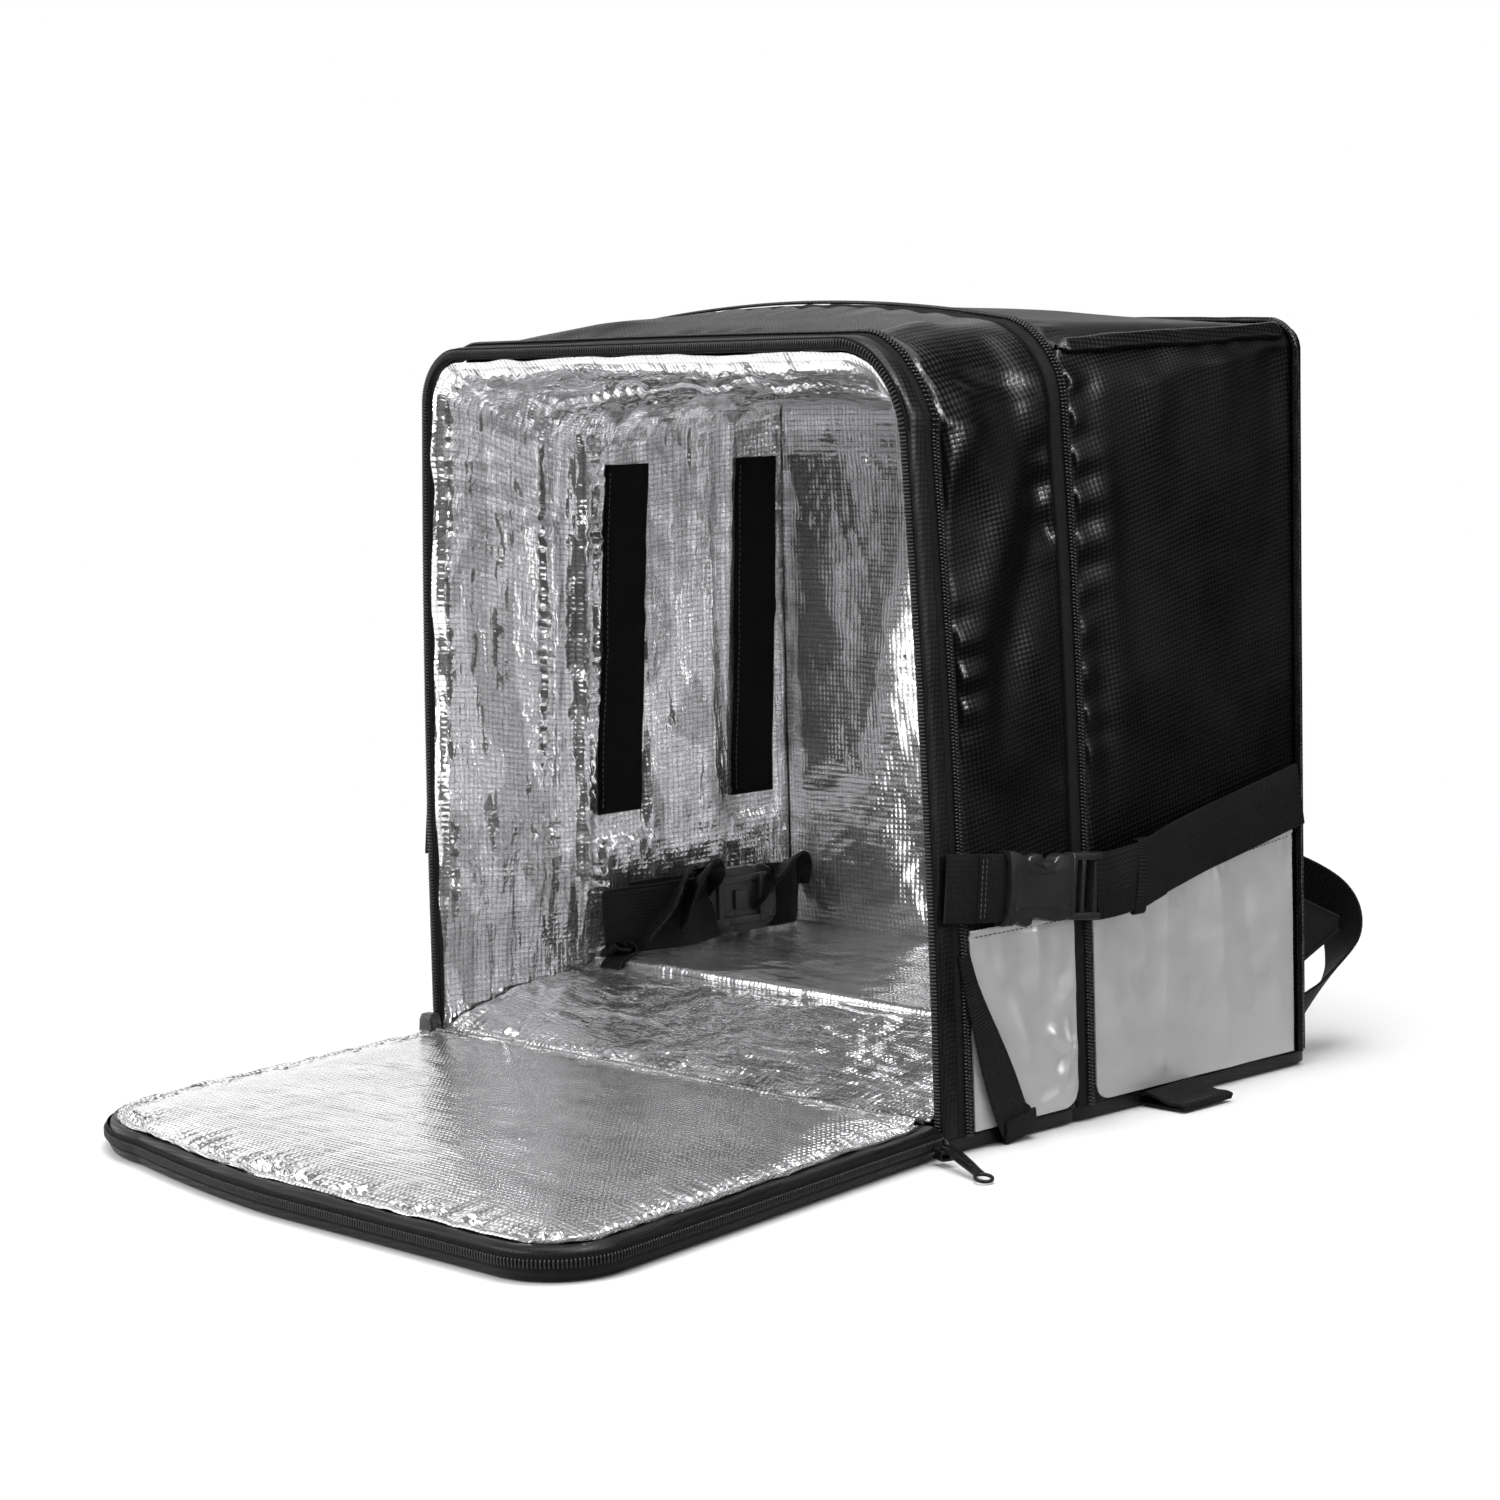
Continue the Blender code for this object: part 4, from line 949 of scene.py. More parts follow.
def hoop_profile(name, profile, places, material, flip=False, step=0.004, wobble=0.0, folded=False):
    """A strip along the outline whose section is a list of depth and lift."""
    where, along = places_between(*places, step)
    rings = []
    for depth, lift in profile:
        points, normals = outline(where, depth, lift)
        more = fold(where, depth) * (lift > -0.001) if folded else 0.0
        more = more + wobble * noise(along * 18, depth * 40, 41)
        rings.append(points + normals * np.broadcast_to(more, where.shape)[:, None])
    return hoop_mesh(name, rings, material, flip=flip)


def make_shell():
    """The opening's binding, the gusset, the tape behind it and the three panels of the main part."""
    whole = (0.0, 1.0)
    front = 0.0002
    ring = [(RING_DEPTH - GAP, 0.0), (0.014, 0.0003), (0.006, 0.0003), (0.002, -0.0002), (front, -0.0016)]
    ring += [(front, -0.0064), (0.0012, -0.0076), (0.004, -0.0080), (0.010, -0.0081)]
    obj = hoop_profile(
        "ring_binding", ring, whole, "tarpaulin_soft", flip=False, step=0.003, wobble=0.0003, folded=True
    )
    settle(obj, "tarpaulin", "front_ring")
    shell_sheet("gusset_cloth", whole, (RING_DEPTH, GUSSET_END - GAP), ("expansion_gusset",))
    band = [(GUSSET_END, -0.003), (GUSSET_END, -0.0006), (GUSSET_END + 0.0008, 0.0002)]
    band += [
        (GUSSET_END + 0.008, 0.0004), (MAIN_START - 0.0012, 0.0002), (MAIN_START - GAP, -0.0006),
        (MAIN_START - GAP, -0.003)
    ]
    obj = hoop_profile("seam_tape", band, whole, "tape", flip=True, step=0.003, wobble=0.0003, folded=True)
    settle(obj, "zip_tape", "seam_band")
    depths = (MAIN_START, MAIN_END + 0.0008)
    first, last = LEFT_SEAM + PANEL_SLIT, RIGHT_SEAM - PANEL_SLIT
    shell_sheet("main_cloth_left", (0.0, LEFT_SEAM - PANEL_SLIT), depths, ("main_left",))
    shell_sheet("main_cloth_top", (first, last), depths, ("main_top",), "tarpaulin_soft")
    shell_sheet("main_cloth_right", (RIGHT_SEAM + PANEL_SLIT, 1.0), depths, ("main_right",))


def make_welts():
    """The rolled seams along the top of the main part, gathered like a drawn hem."""
    for name, seam in (("welt_left", LEFT_SEAM), ("welt_right", RIGHT_SEAM)):
        start, end = MAIN_START + WELT_RADIUS * 0.4, MAIN_END - 2.2 * PIPING_RADIUS
        deep = np.linspace(start, end, 90)
        walked = deep - start
        shift = 0.0016 * noise(walked * 26, walked * 0, 51)
        centre, normal = outline(np.full_like(deep, seam) + shift * 0.25, deep, WELT_RADIUS * 0.55)
        lift = fold(np.full_like(deep, seam), deep) * 0.5 + 0.0008 * noise(walked * 40, walked * 0 + 2, 52)
        centre = centre + normal * lift[:, None]
        side = unit(np.cross(all_along((0.0, 1.0, 0.0), normal), normal))
        angles = circle(16)
        wide = 1.75 * WELT_RADIUS * (1 + 0.16 * noise(walked * 55, walked * 0 + 4, 53))
        tall = WELT_RADIUS * (1 + 0.14 * noise(walked * 48, walked * 0 + 6, 54))
        fade = clamp(np.minimum(walked, walked[-1] - walked) / 0.006, 0.25, 1.0)
        rings = centre[:, None] + (
            np.cos(angles)[None, :, None] * side[:, None] * (wide * fade)[:, None, None]
        )
        ridge = np.sin(angles) * (1 + 0.22 * np.cos(3 * angles))
        rings = rings + ridge[None, :, None] * normal[:, None] * (tall * fade)[:, None, None]
        obj = hoop_mesh(f"{name}_roll", rings, "tarpaulin", closed=True, flip=True)
        settle(obj, "tarpaulin", name)


def make_piping():
    """The rolled edge round the back of the main part."""
    where, along = places_between(0.0, 1.0, 0.003)
    centre, normal = outline(where, np.full_like(where, MAIN_END), PIPING_RADIUS * 0.9)
    centre[:, 1] += 0.0002
    angles = circle(12)
    radius = PIPING_RADIUS * (1 + 0.10 * noise(along * 60, along * 0, 61))
    back = np.array([0.0, 1.0, 0.0])
    around = np.cos(angles)[None, :, None] * normal[:, None] + np.sin(angles)[None, :, None] * back
    rings = centre[:, None] + around * radius[:, None, None]
    settle(hoop_mesh("piping_roll", rings, "tarpaulin", closed=True), "tarpaulin", "back_piping")


BASE_SECTION = (
    # across as a share of half the width, height in metres
    (-1, 0.0085), (-1, 0.0022), (-0.995, 0.0006), (-0.98, 0.0), (-0.5, 0.0), (0.5, 0.0),
    (0.98, 0.0), (0.995, 0.0006), (1, 0.0022), (1, 0.0085), (0.985, 0.0090), (-0.985, 0.0090),
)


def make_base():
    """The two padded boards under the bag."""
    half = WIDTH / 2 - 0.001
    for name, node, start, end in (
        ("base_cloth_front", "base_front", 0.0, GUSSET_END - GAP),
        ("base_cloth_main", "base_main", GUSSET_END, DEPTH),
    ):
        deep = np.linspace(start, end, max(4, int((end - start) / 0.006)))
        across, up = np.array(BASE_SECTION).T
        rings = []
        for index, depth in enumerate(deep):
            sag = 0.4 * (0.0009 * noise(across * 5, depth * 22, 71)) * ((up > 0.001) & (up < 0.0089))
            low = 0.002 if index in (0, len(deep) - 1) else 0.0
            rings.append(stack(across * half * (1 - low / half), y_at(depth), np.maximum(0.0, up + sag)))
        obj = hoop_mesh(name, rings, "tarpaulin_soft", closed=True)
        cap_ends(obj, len(across))
        settle(obj, "tarpaulin", node)


def cap_ends(obj, ring, rounded=True):
    """Closes both ends of a skin whose rings have that many points; rounded shades the ends smooth."""
    bm = bmesh.new()
    bm.from_mesh(obj.data)
    bm.verts.ensure_lookup_table()
    count = len(bm.verts)
    bm.faces.new([bm.verts[i] for i in range(ring)])
    bm.faces.new([bm.verts[i] for i in range(count - ring, count)])
    bmesh.ops.recalc_face_normals(bm, faces=bm.faces)
    bm.to_mesh(obj.data)
    bm.free()
    if rounded:
        for polygon in obj.data.polygons:
            polygon.use_smooth = True
    obj.data.set_sharp_from_angle(angle=math.radians(EDGE_ANGLE))


BACK_CENTRE = 0.24
FIELD_REACH = 0.180
FIELD_LOW = 0.075
FIELD_HIGH = 0.405
FIELD_SLOPE = 0.012
CHANNEL_PITCH = 0.055


def make_back():
    """The back panel: the bag's outline at the back, with a raised padded field in quilted channels."""
    where, _ = places_between(0.0, 1.0, 0.004, DEPTH)
    edge, _ = outline(where, np.full_like(where, DEPTH))
    foot = np.linspace(edge[-1], edge[0], 100)[1:-1]
    edge = np.concatenate([edge, foot])
    centre = np.array([0.0, y_at(DEPTH), BACK_CENTRE])
    shares = np.concatenate([[1.0, 1.0], np.linspace(0.996, 0.02, 92)])
    rings = []
    for index, share in enumerate(shares):
        ring = centre + (edge - centre) * share
        if index == 0:
            ring[:, 1] = y_at(DEPTH) - BACK_THICKNESS
        else:
            ring[:, 1] = y_at(DEPTH) - 0.0010 * (share > 0.9985)
        rings.append(ring)
    points = np.array(rings)
    x, z = points[..., 0], points[..., 2]
    field_x = smooth(FIELD_REACH - np.abs(x), 0.0, FIELD_SLOPE)
    field_z = smooth(np.minimum(z - FIELD_LOW, FIELD_HIGH - z), 0.0, FIELD_SLOPE)
    channel = np.abs((z / CHANNEL_PITCH) % 1.0 - 0.5) * 2
    split = smooth(np.abs(x), 0.004, 0.020)
    pad = field_x * field_z * (0.0012 + 0.0030 * (1 - channel**4)) * (0.35 + 0.65 * split)
    pad = pad + 0.0004 * noise(x * 20, z * 20, 81) * field_x * field_z
    points[1:, :, 1] += pad[1:]
    obj = hoop_mesh("back_cloth", points, "tarpaulin", closed=True, flip=True)
    write_uvs(obj.data, np.stack([points[..., 0], points[..., 2]], -1))
    settle(obj, "tarpaulin", "back_panel", padded=0.3)


make_shell()
make_welts()
make_piping()
make_base()
make_back()


# Foil lining

FOIL_STEP = 0.0026


def beside_strips(place, depth):
    """Falls to 0 just where a hook strip lies, for the foil's small relief."""
    z = (FOOT + place / SIDE_SHARE * (HEIGHT * 0.917 - FOOT)) * (HEIGHT - CEILING_BACK) / HEIGHT
    share = 1 - (HOOK_TOP - z) / HOOK_LENGTH
    fade = 1.0
    for middle in HOOK_DEPTHS:
        across = np.abs(depth - middle + HOOK_DRIFT * clamp(1 - share)) - HOOK_WIDTH / 2 - 0.001
        along = np.maximum(-share, share - 1) * HOOK_LENGTH - 0.016
        fade = fade * smooth(np.maximum(across, along), 0.0, 0.007)
    return np.where(place < 0.5, fade, 1.0)


def foil_relief(place, depth, along):
    """How far the foil stands in beyond its broad waves: gathers at its seams, long folds and crumples."""
    side = np.minimum(place, 1 - place)
    on_side = 1 - smooth(side, SIDE_SHARE, SIDE_SHARE + BEND_SHARE * 0.6)
    foot = smooth(side, 0.022, 0.055)
    strips = beside_strips(place, depth)
    front = 1 - smooth(depth, 0.070, 0.095)
    middle = smooth(depth, 0.075, 0.095)
    # Long folds down the walls, and slanting ones over the ceiling
    hang = creases(depth * 34, along * 3.2, 101, 4, 0.5)
    slanted = creases(along * 15 + depth * 16, depth * 9, 102, 4, 0.8)
    sharp = creases(depth * 95, along * 8, 108, 4, 0.4)
    total = (0.0120 * hang + 0.0034 * sharp) * on_side * mix(0.5, 1.0, middle)
    total = total + 0.0120 * slanted * (1 - on_side)
    # The crushed strip round the opening, between its two seams
    crush = creases(along * 62, depth * 70, 103, 5)
    total = total + front * (0.0055 * crush + 0.0022 * clamp(noise(along * 30, depth * 34, 104)))
    for seam, reach, size in (
        (0.010, 0.012, 0.0016), (0.086, 0.014, 0.0022), (MAIN_START + 0.002, 0.016, 0.0020)
    ):
        away = depth - seam
        gathers = puckers(along, away, 0.0105, reach, int(seam * 1000))
        total = total + size * (1 + gathers) * bump(away, reach)
        total = total - 0.0034 * bump(away, 0.0016)
    # The fold that stands up between the gusset and the main part
    total = total + 0.0042 * bump(depth - 0.121, 0.0036) * on_side
    total = total + 0.0016 * creases(along * 90, depth * 90, 105, 4)
    total = total + 0.0007 * noise(along * 150, depth * 150, 106)
    total = clamp(total, 0.0, 0.014)
    edge = smooth(depth, 0.001, 0.010) * smooth(LINING_END - depth, 0.0, 0.010)
    return total * foot * strips * edge


def make_foil_walls():
    where, along = places_between(0.0, 1.0, FOIL_STEP, 0.1)
    deep = np.linspace(0.0016, LINING_END, int(LINING_END / FOIL_STEP))
    place, depth = np.meshgrid(where, deep)
    gone = np.broadcast_to(along, place.shape)
    side = np.minimum(place, 1 - place)
    ragged = 0.0016 * noise(gone * 42, gone * 0, 111) * (
        1 - smooth(depth, 0.0, 0.02)
    ) * smooth(side, 0.01, 0.04)
    out = 0.0022 * (1 - smooth(depth, 0.0, 0.006)) * (1 + 0.6 * noise(gone * 50, gone * 0 + 3, 112))
    points = foil(place, depth + ragged, -LINING * 0.5, foil_relief(place, depth, gone) - out)
    normals = outline(place, depth)[1]
    uvs = np.stack([gone, depth], -1)
    obj = sheet_mesh("foil_walls", points, "foil", 0.002, normals, uvs=uvs)
    settle(obj, "foil", "lining_left", "lining_top", "lining_right")


def make_foil_back():
    depth = MAIN_END - 2 * GAP - LINING * 0.5
    wide = WIDTH / 2 - WALL + 0.001
    x, z = np.meshgrid(np.arange(-wide, wide, FOIL_STEP), np.arange(FOOT, HEIGHT - 0.018, FOIL_STEP))
    fold_line = -0.095 + 0.030 * noise(z * 9, z * 0, 121)
    relief = 0.010 * smooth(x, -0.2, -0.12) * bump(x - fold_line, 0.030) * smooth(z, 0.12, 0.22)
    relief = relief + 0.0100 * creases(x * 15 + z * 5, z * 5, 122, 4, 0.9)
    relief = relief + 0.0022 * creases(x * 60, z * 40, 123, 4)
    relief = relief + 0.0022 * noise(x * 12, z * 9, 124)
    edge = smooth(wide - np.abs(x), 0.0, 0.02) * smooth(z, FLOOR_HEIGHT, FLOOR_HEIGHT + 0.03)
    y = y_at(depth) - clamp(relief, 0, 0.016) * edge
    points = stack(x, y, z)
    beside = np.interp(z, [FOOT, HEIGHT], [1.0, 1 - SIDE_SHARE])
    squeeze = outline(beside, np.full_like(z, LINING_END), LINING_LIFT)[0][..., 0]
    points[..., 0] *= np.minimum(1.0, (squeeze - 0.001) / wide)
    obj = sheet_mesh(
        "foil_back", points, "foil_smooth", 0.002, (0, 1, 0), flip=False, uvs=np.stack([x, z], -1)
    )
    settle(obj, "foil", "lining_back")


def wall_x(depth, z, turn):
    """The foil wall's inner face near the floor."""
    place = SIDE_SHARE * (z - FOOT) / (HEIGHT - FOOT)
    return foil(1 - place if turn > 0 else place, depth, -LINING)[..., 0]


def make_foil_floor():
    """The raised pad, its rounded hem and the slack foil in front of it."""
    hem_depth = MAIN_START + HEM_RADIUS
    start, end = hem_depth, LINING_END - GAP
    u, v = np.meshgrid(np.linspace(0, 1, 165), np.linspace(0, 1, 78))
    depth = mix(start, end, v)
    x = mix(wall_x(depth, FLOOR_HEIGHT, -1) + 0.001, wall_x(depth, FLOOR_HEIGHT, 1) - 0.001, u)
    inside = smooth(np.minimum(u, 1 - u), 0.0, 0.05) * smooth(v, 0.0, 0.08) * smooth(1 - v, 0.0, 0.04)
    keep = mix(0.2, 1.0, smooth(u, 0.15, 0.3))
    relief = 0.0032 * (creases(x * 13 + depth * 7, depth * 14, 131, 4, 1.4) - 0.2)
    relief = relief + 0.0010 * creases(x * 45, depth * 45, 132, 4)
    ripple = FLOOR_RIPPLE * np.sin(7 * u + 4 * v) * np.sin(math.pi * u)
    z = FLOOR_HEIGHT + (ripple + relief) * inside * keep
    z = z - 0.0012 * (1 - smooth(v, 0.0, 0.05))
    obj = sheet_mesh(
        "foil_pad", stack(x, y_at(depth), z), "foil_smooth", 0.02, (0, 0, -1), uvs=np.stack([x, depth], -1)
    )
    settle(obj, "foil", "floor_pad", padded=0.7)
    # The rounded hem at the pad's front edge
    reach = wall_x(np.array(hem_depth), FLOOR_HEIGHT, 1) - 0.002
    across = np.linspace(-reach, reach, 180)
    angles = circle(18)
    radius = HEM_RADIUS * (1 + 0.05 * noise(across * 40, across * 0, 133))
    drop = 0.0012 * noise(across * 9, across * 0 + 5, 134)
    rings = stack(
        across[:, None] + 0 * angles,
        y_at(hem_depth) + radius[:, None] * np.cos(angles),
        FLOOR_HEIGHT - HEM_RADIUS + 0.0006 + drop[:, None] + radius[:, None] * np.sin(angles),
    )
    settle(hoop_mesh("foil_hem", rings, "foil_smooth", closed=True), "foil", "floor_hem")
    # Slack foil over the floor of the gusset
    first, last = 0.001, MAIN_START - GAP
    u, v = np.meshgrid(np.linspace(0, 1, 190), np.linspace(0, 1, 58))
    depth = mix(first, last, v)
    x = mix(wall_x(depth, FLOOR_HEIGHT, -1) + 0.001, wall_x(depth, FLOOR_HEIGHT, 1) - 0.001, u)
    low = mix(GUSSET_FLOOR_FRONT, FLOOR_HEIGHT - HEM_RADIUS, v**0.8)
    ripple = 0.003 * np.sin(math.pi * v) * np.sin(11 * u + 3 * v)
    relief = 0.0075 * (creases(x * 24 + depth * 9, depth * 30, 135, 5) - 0.22)
    relief = relief + 0.0022 * (creases(x * 85, depth * 85, 136, 4) - 0.2)
    inside = smooth(np.minimum(v, 1 - v), 0.0, 0.12)
    z = low + ripple + relief * inside
    z = z + 0.0012 * puckers(x, depth - first, 0.008, 0.014, 137) * smooth(v, 0.0, 0.03)
    obj = sheet_mesh(
        "foil_slack", stack(x, y_at(depth), z), "foil", 0.002, (0, 0, -1), uvs=np.stack([x, depth], -1)
    )
    settle(obj, "foil", "lining_floor")


# Door

def door_place(u, v, inset=0.0):
    """Places on the door: u from its left to its right edge, v from the hinge to the free edge."""
    u, v = np.broadcast_arrays(np.asarray(u, float), np.asarray(v, float))
    bend = np.maximum(np.where(u > 0.5, DOOR_RIGHT_BEND, DOOR_LEFT_BEND) - inset, 0.01)
    half = WIDTH / 2 - inset
    length = DOOR_LENGTH - inset
    reach = v * length
    into = clamp((reach - (length - bend)) / bend)
    pulled = bend * (1 - np.sqrt(1 - into * into))
    across = (2 * u - 1) * (half - pulled)
    share = reach / DOOR_LENGTH
    x = across + across / half * DOOR_FLARE * share + DOOR_SKEW * share
    y = -reach + DOOR_SLANT * share**3 * clamp((0.5 - u) * 2) ** 1.5
    return stack(x, y_at(y), 0)


def door_edge(inset, start, step=0.003):
    """The door's edge at even steps from the hinge's left end round to its right end, and the ways out."""
    v = mix(start, 1, np.sin(np.linspace(0, math.pi / 2, 400)))
    free = np.linspace(0, 1, 300)[1:-1]
    path = np.concatenate(
        [door_place(0.0, v, inset), door_place(free, 1.0, inset), door_place(1.0, v[::-1], inset)]
    )
    gone = walked_along(path)
    even = np.linspace(0, gone[-1], int(gone[-1] / step) + 1)
    points = read_at(even, gone, path)
    ahead = unit(np.gradient(points, axis=0))
    for _ in range(3):
        ahead[1:-1] = unit(ahead[:-2] + 2 * ahead[1:-1] + ahead[2:])
    out = np.stack([ahead[:, 1], -ahead[:, 0], 0 * even], -1)
    middle = points.mean(axis=0)
    if ((points - middle) * out).sum() < 0:
        out = -out
    return points, out, even


def nearest(points, path):
    """For each point, its distance from the path and how far along the path the nearest spot lies."""
    gone = walked_along(path)
    flat = points.reshape(-1, 3)[:, :2]
    away, along = np.empty(len(flat)), np.empty(len(flat))
    for first in range(0, len(flat), 4000):
        part = flat[first:first + 4000]
        far = np.linalg.norm(part[:, None] - path[None, :, :2], axis=2)
        best = far.argmin(axis=1)
        away[first:first + 4000] = far[np.arange(len(part)), best]
        along[first:first + 4000] = gone[best]
    return away.reshape(points.shape[:-1]), along.reshape(points.shape[:-1])


def make_door():
    """The padded door, rounded at its rims and a little wavy, with its foil and its teeth."""
    start = (TEETH_HEIGHT + 2 * GAP) / DOOR_LENGTH
    points, out, even = door_edge(0.0, start)
    profile = (
        # inset, height, waviness
        (0.0040, 0.0000, 0.0), (0.0016, 0.0007, 0.0), (0.0004, 0.0028, 0.3), (0.0000, 0.0060, 0.5),
        (0.0000, 0.0110, 0.6),
        (0.0003, 0.0140, 0.8), (0.0014, 0.0163, 0.8), (0.0036, 0.0174, 0.6), (0.0075, 0.0176, 0.3),
        (0.0120, 0.0172, 0.0),
        (0.0260, 0.0168, 0.0),
    )
    rings = []
    for inset, height, wavy in profile:
        shift = 0.0012 * wavy * noise(even * 30, even * 0 + height * 90, 141)
        ring = points - out * (inset + np.maximum(shift, -0.0006))[:, None]
        ring[:, 2] = height + 0.0006 * wavy * noise(even * 40, even * 0 + 9, 142)
        rings.append(ring)
    obj = hoop_mesh("door_body", rings, "tarpaulin_soft", closed=True, flip=True)
    cap_ends(obj, len(even), rounded=False)
    settle(obj, "tarpaulin", "door_shell", padded=0.8)
    make_door_foil()
    make_door_zip(points, out)


def make_door_foil():
    """The foil pillow on the door, gathered at its stitched lip."""
    start = (HINGE_START + HINGE_WIDTH + GAP) / DOOR_LENGTH
    rim, _, _ = door_edge(DOOR_MARGIN, start, 0.002)
    columns = np.concatenate(
        [np.linspace(0, 0.05, 16)[:-1], np.linspace(0.05, 0.95, 148), np.linspace(0.95, 1, 16)[1:]]
    )
    shares = np.sin(np.linspace(0, math.pi / 2, 132))
    u, v = np.meshgrid(columns, mix(start, 1, shares))
    points = door_place(u, v, DOOR_MARGIN)
    away, along = nearest(points, rim)
    hinge = (v - start) * DOOR_LENGTH
    x, y = points[..., 0], points[..., 1]
    inner = clamp(away - 0.0055, 0, 1)
    rise = 1 - np.exp(-((inner / 0.030) ** 0.85))
    near_hinge = 1 - np.exp(-((hinge / 0.022) ** 1.0)) * 0.85
    broad = 0.80 + 0.10 * noise(x * 7 + 3, y * 9, 151)
    z = DOOR_SIDE + GAP + LINING * 0.6 + DOOR_PILLOW * broad * rise * near_hinge
    seam = away - 0.0055
    gather = puckers(along, seam, 0.0068, 0.011, 152) + 0.7 * puckers(along, seam, 0.0127, 0.017, 153)
    z = z + 0.0017 * gather * smooth(inner, 0.0, 0.002) * smooth(hinge, 0.0, 0.01)
    lip = 1 - smooth(away, 0.003, 0.0058)
    z = z + lip * (0.0010 + 0.0007 * noise(along * 130, along * 0, 154)) - 0.0009 * bump(seam, 0.0012)
    z = z + 0.0010 * (creases(x * 18, y * 18, 155, 4) - 0.2) * rise
    z = z + 0.00045 * (creases(x * 60, y * 55, 156, 4) - 0.2) * rise
    z = z + 0.0008 * puckers(x, hinge, 0.016, 0.020, 157)
    z = np.maximum(z, DOOR_SIDE + 0.0010)
    nudge = 0.0013 * noise(along * 48, along * 0 + 7, 158) * (1 - smooth(away, 0.0, 0.012))
    middle = np.array([0.03, y_at(-0.17), 0.0])
    way = unit(points - middle)
    points = points + way * nudge[..., None]
    points[..., 2] = z
    uvs = np.stack([x, y], -1)
    obj = sheet_mesh("door_foil", points, "foil_door", 0.0012, (0, 0, -1), flip=True, uvs=uvs)
    settle(obj, "foil", "door_lining", padded=0.5)
    # Stitches along the lip
    path, _, _ = door_edge(DOOR_MARGIN + 0.0048, start, 0.003)
    stitch_row("door_stitches", path, 0.0042, DOOR_SIDE + GAP + LINING * 0.6 + 0.0006, "thread_grey")


STITCH = (0.0006, 0.0005)


def stitch_row(name, path, pitch, height, thread, length=0.0028):
    """A row of stitches lying at one height along a path."""
    spots, ahead, _ = even_path(path, pitch)
    if height is not None:
        spots[:, 2] = height
    up = all_along((0.0, 0.0, 1.0), spots)
    side = unit(np.cross(up, ahead))
    obj = repeat_mesh(name, bar_shape(length, *STITCH), spots, ahead, side, up, thread)
    settle(obj, "foil" if thread == "thread_grey" else "webbing")
    return obj


def wall_stitches(name, path, normals, pitch, thread, slot="webbing", length=0.0030):
    """A row of stitches along a path on a standing surface, with the ways out at the path's points."""
    spots, ahead, where = even_path(path, pitch)
    gone = walked_along(path)
    up = unit(read_at(where, gone, normals))
    side = unit(np.cross(up, ahead))
    obj = repeat_mesh(name, bar_shape(length, *STITCH), spots, ahead, side, up, thread)
    return settle(obj, slot)


TOOTH_PITCH = 0.0021
TOOTH_BREADTH = 0.0014


def make_door_zip(points, out):
    """One open row of teeth round the door's side, on its tape."""
    low = DOOR_SIDE / 2 - 0.001
    profile = (
        (0.0002, low - 0.0022), (0.0008, low - 0.0018), (0.0009, low + 0.0070), (0.0002, low + 0.0074)
    )
    rings = []
    for lift, height in profile:
        ring = points + out * lift
        ring[:, 2] = height
        rings.append(ring)
    tape = hoop_mesh("door_zip_tape", rings, "tape")
    settle(tape, "zip_tape", "door_zip")
    spots, ahead, where = even_path(points, TOOTH_PITCH)
    gone = walked_along(points)
    away = unit(read_at(where, gone, out))
    spots = spots + away * (0.0009 + TEETH_HEIGHT * 0.35)
    spots[:, 2] = low + TEETH_WIDTH * 0.5
    up = all_along((0.0, 0.0, 1.0), spots)
    obj = repeat_mesh(
        "door_teeth", bar_shape(TEETH_WIDTH * 0.92, TOOTH_BREADTH, TEETH_HEIGHT * 0.85), spots, up, ahead,
        away, "teeth"
    )
    settle(obj, "zip_tape")


def make_hinge():
    """The stitched ridge of foil over the door's cloth hinge."""
    half = WIDTH / 2 - WALL - 0.006
    u, v = np.meshgrid(np.linspace(-1, 1, 260), np.linspace(0, 1, 15))
    depth = -HINGE_START - HINGE_WIDTH * v
    x = u * half
    arch = np.sin(math.pi * v)
    groove = bump(v - 0.28, 0.07) + bump(v - 0.72, 0.07)
    z = DOOR_SIDE + GAP + 0.0010 + 0.0026 * arch - 0.0008 * groove
    z = z + 0.0011 * (
        creases(x * 110, depth * 110, 161, 4) - 0.15
    ) * arch + 0.0006 * noise(x * 160, v * 3, 162)
    z = np.maximum(z, DOOR_SIDE + GAP)
    depth = depth + 0.0010 * noise(x * 34, v * 0, 163)
    obj = sheet_mesh(
        "hinge_foil", stack(x, y_at(depth), z), "foil", 0.0015, (0, 0, -1), flip=True,
        uvs=np.stack([x, depth], -1)
    )
    settle(obj, "foil", "hinge_seam")
    for index, share in enumerate((0.28, 0.72)):
        along = np.linspace(-half + 0.004, half - 0.004, 60)
        path = stack(
            along, y_at(-HINGE_START - HINGE_WIDTH * share + 0.0010 * noise(along * 34, along * 0, 163)), 0
        )
        stitch_row(f"hinge_stitches_{index + 1}", path, 0.0040, DOOR_SIDE + GAP + 0.0032, "thread_grey")


# Zips round the bag

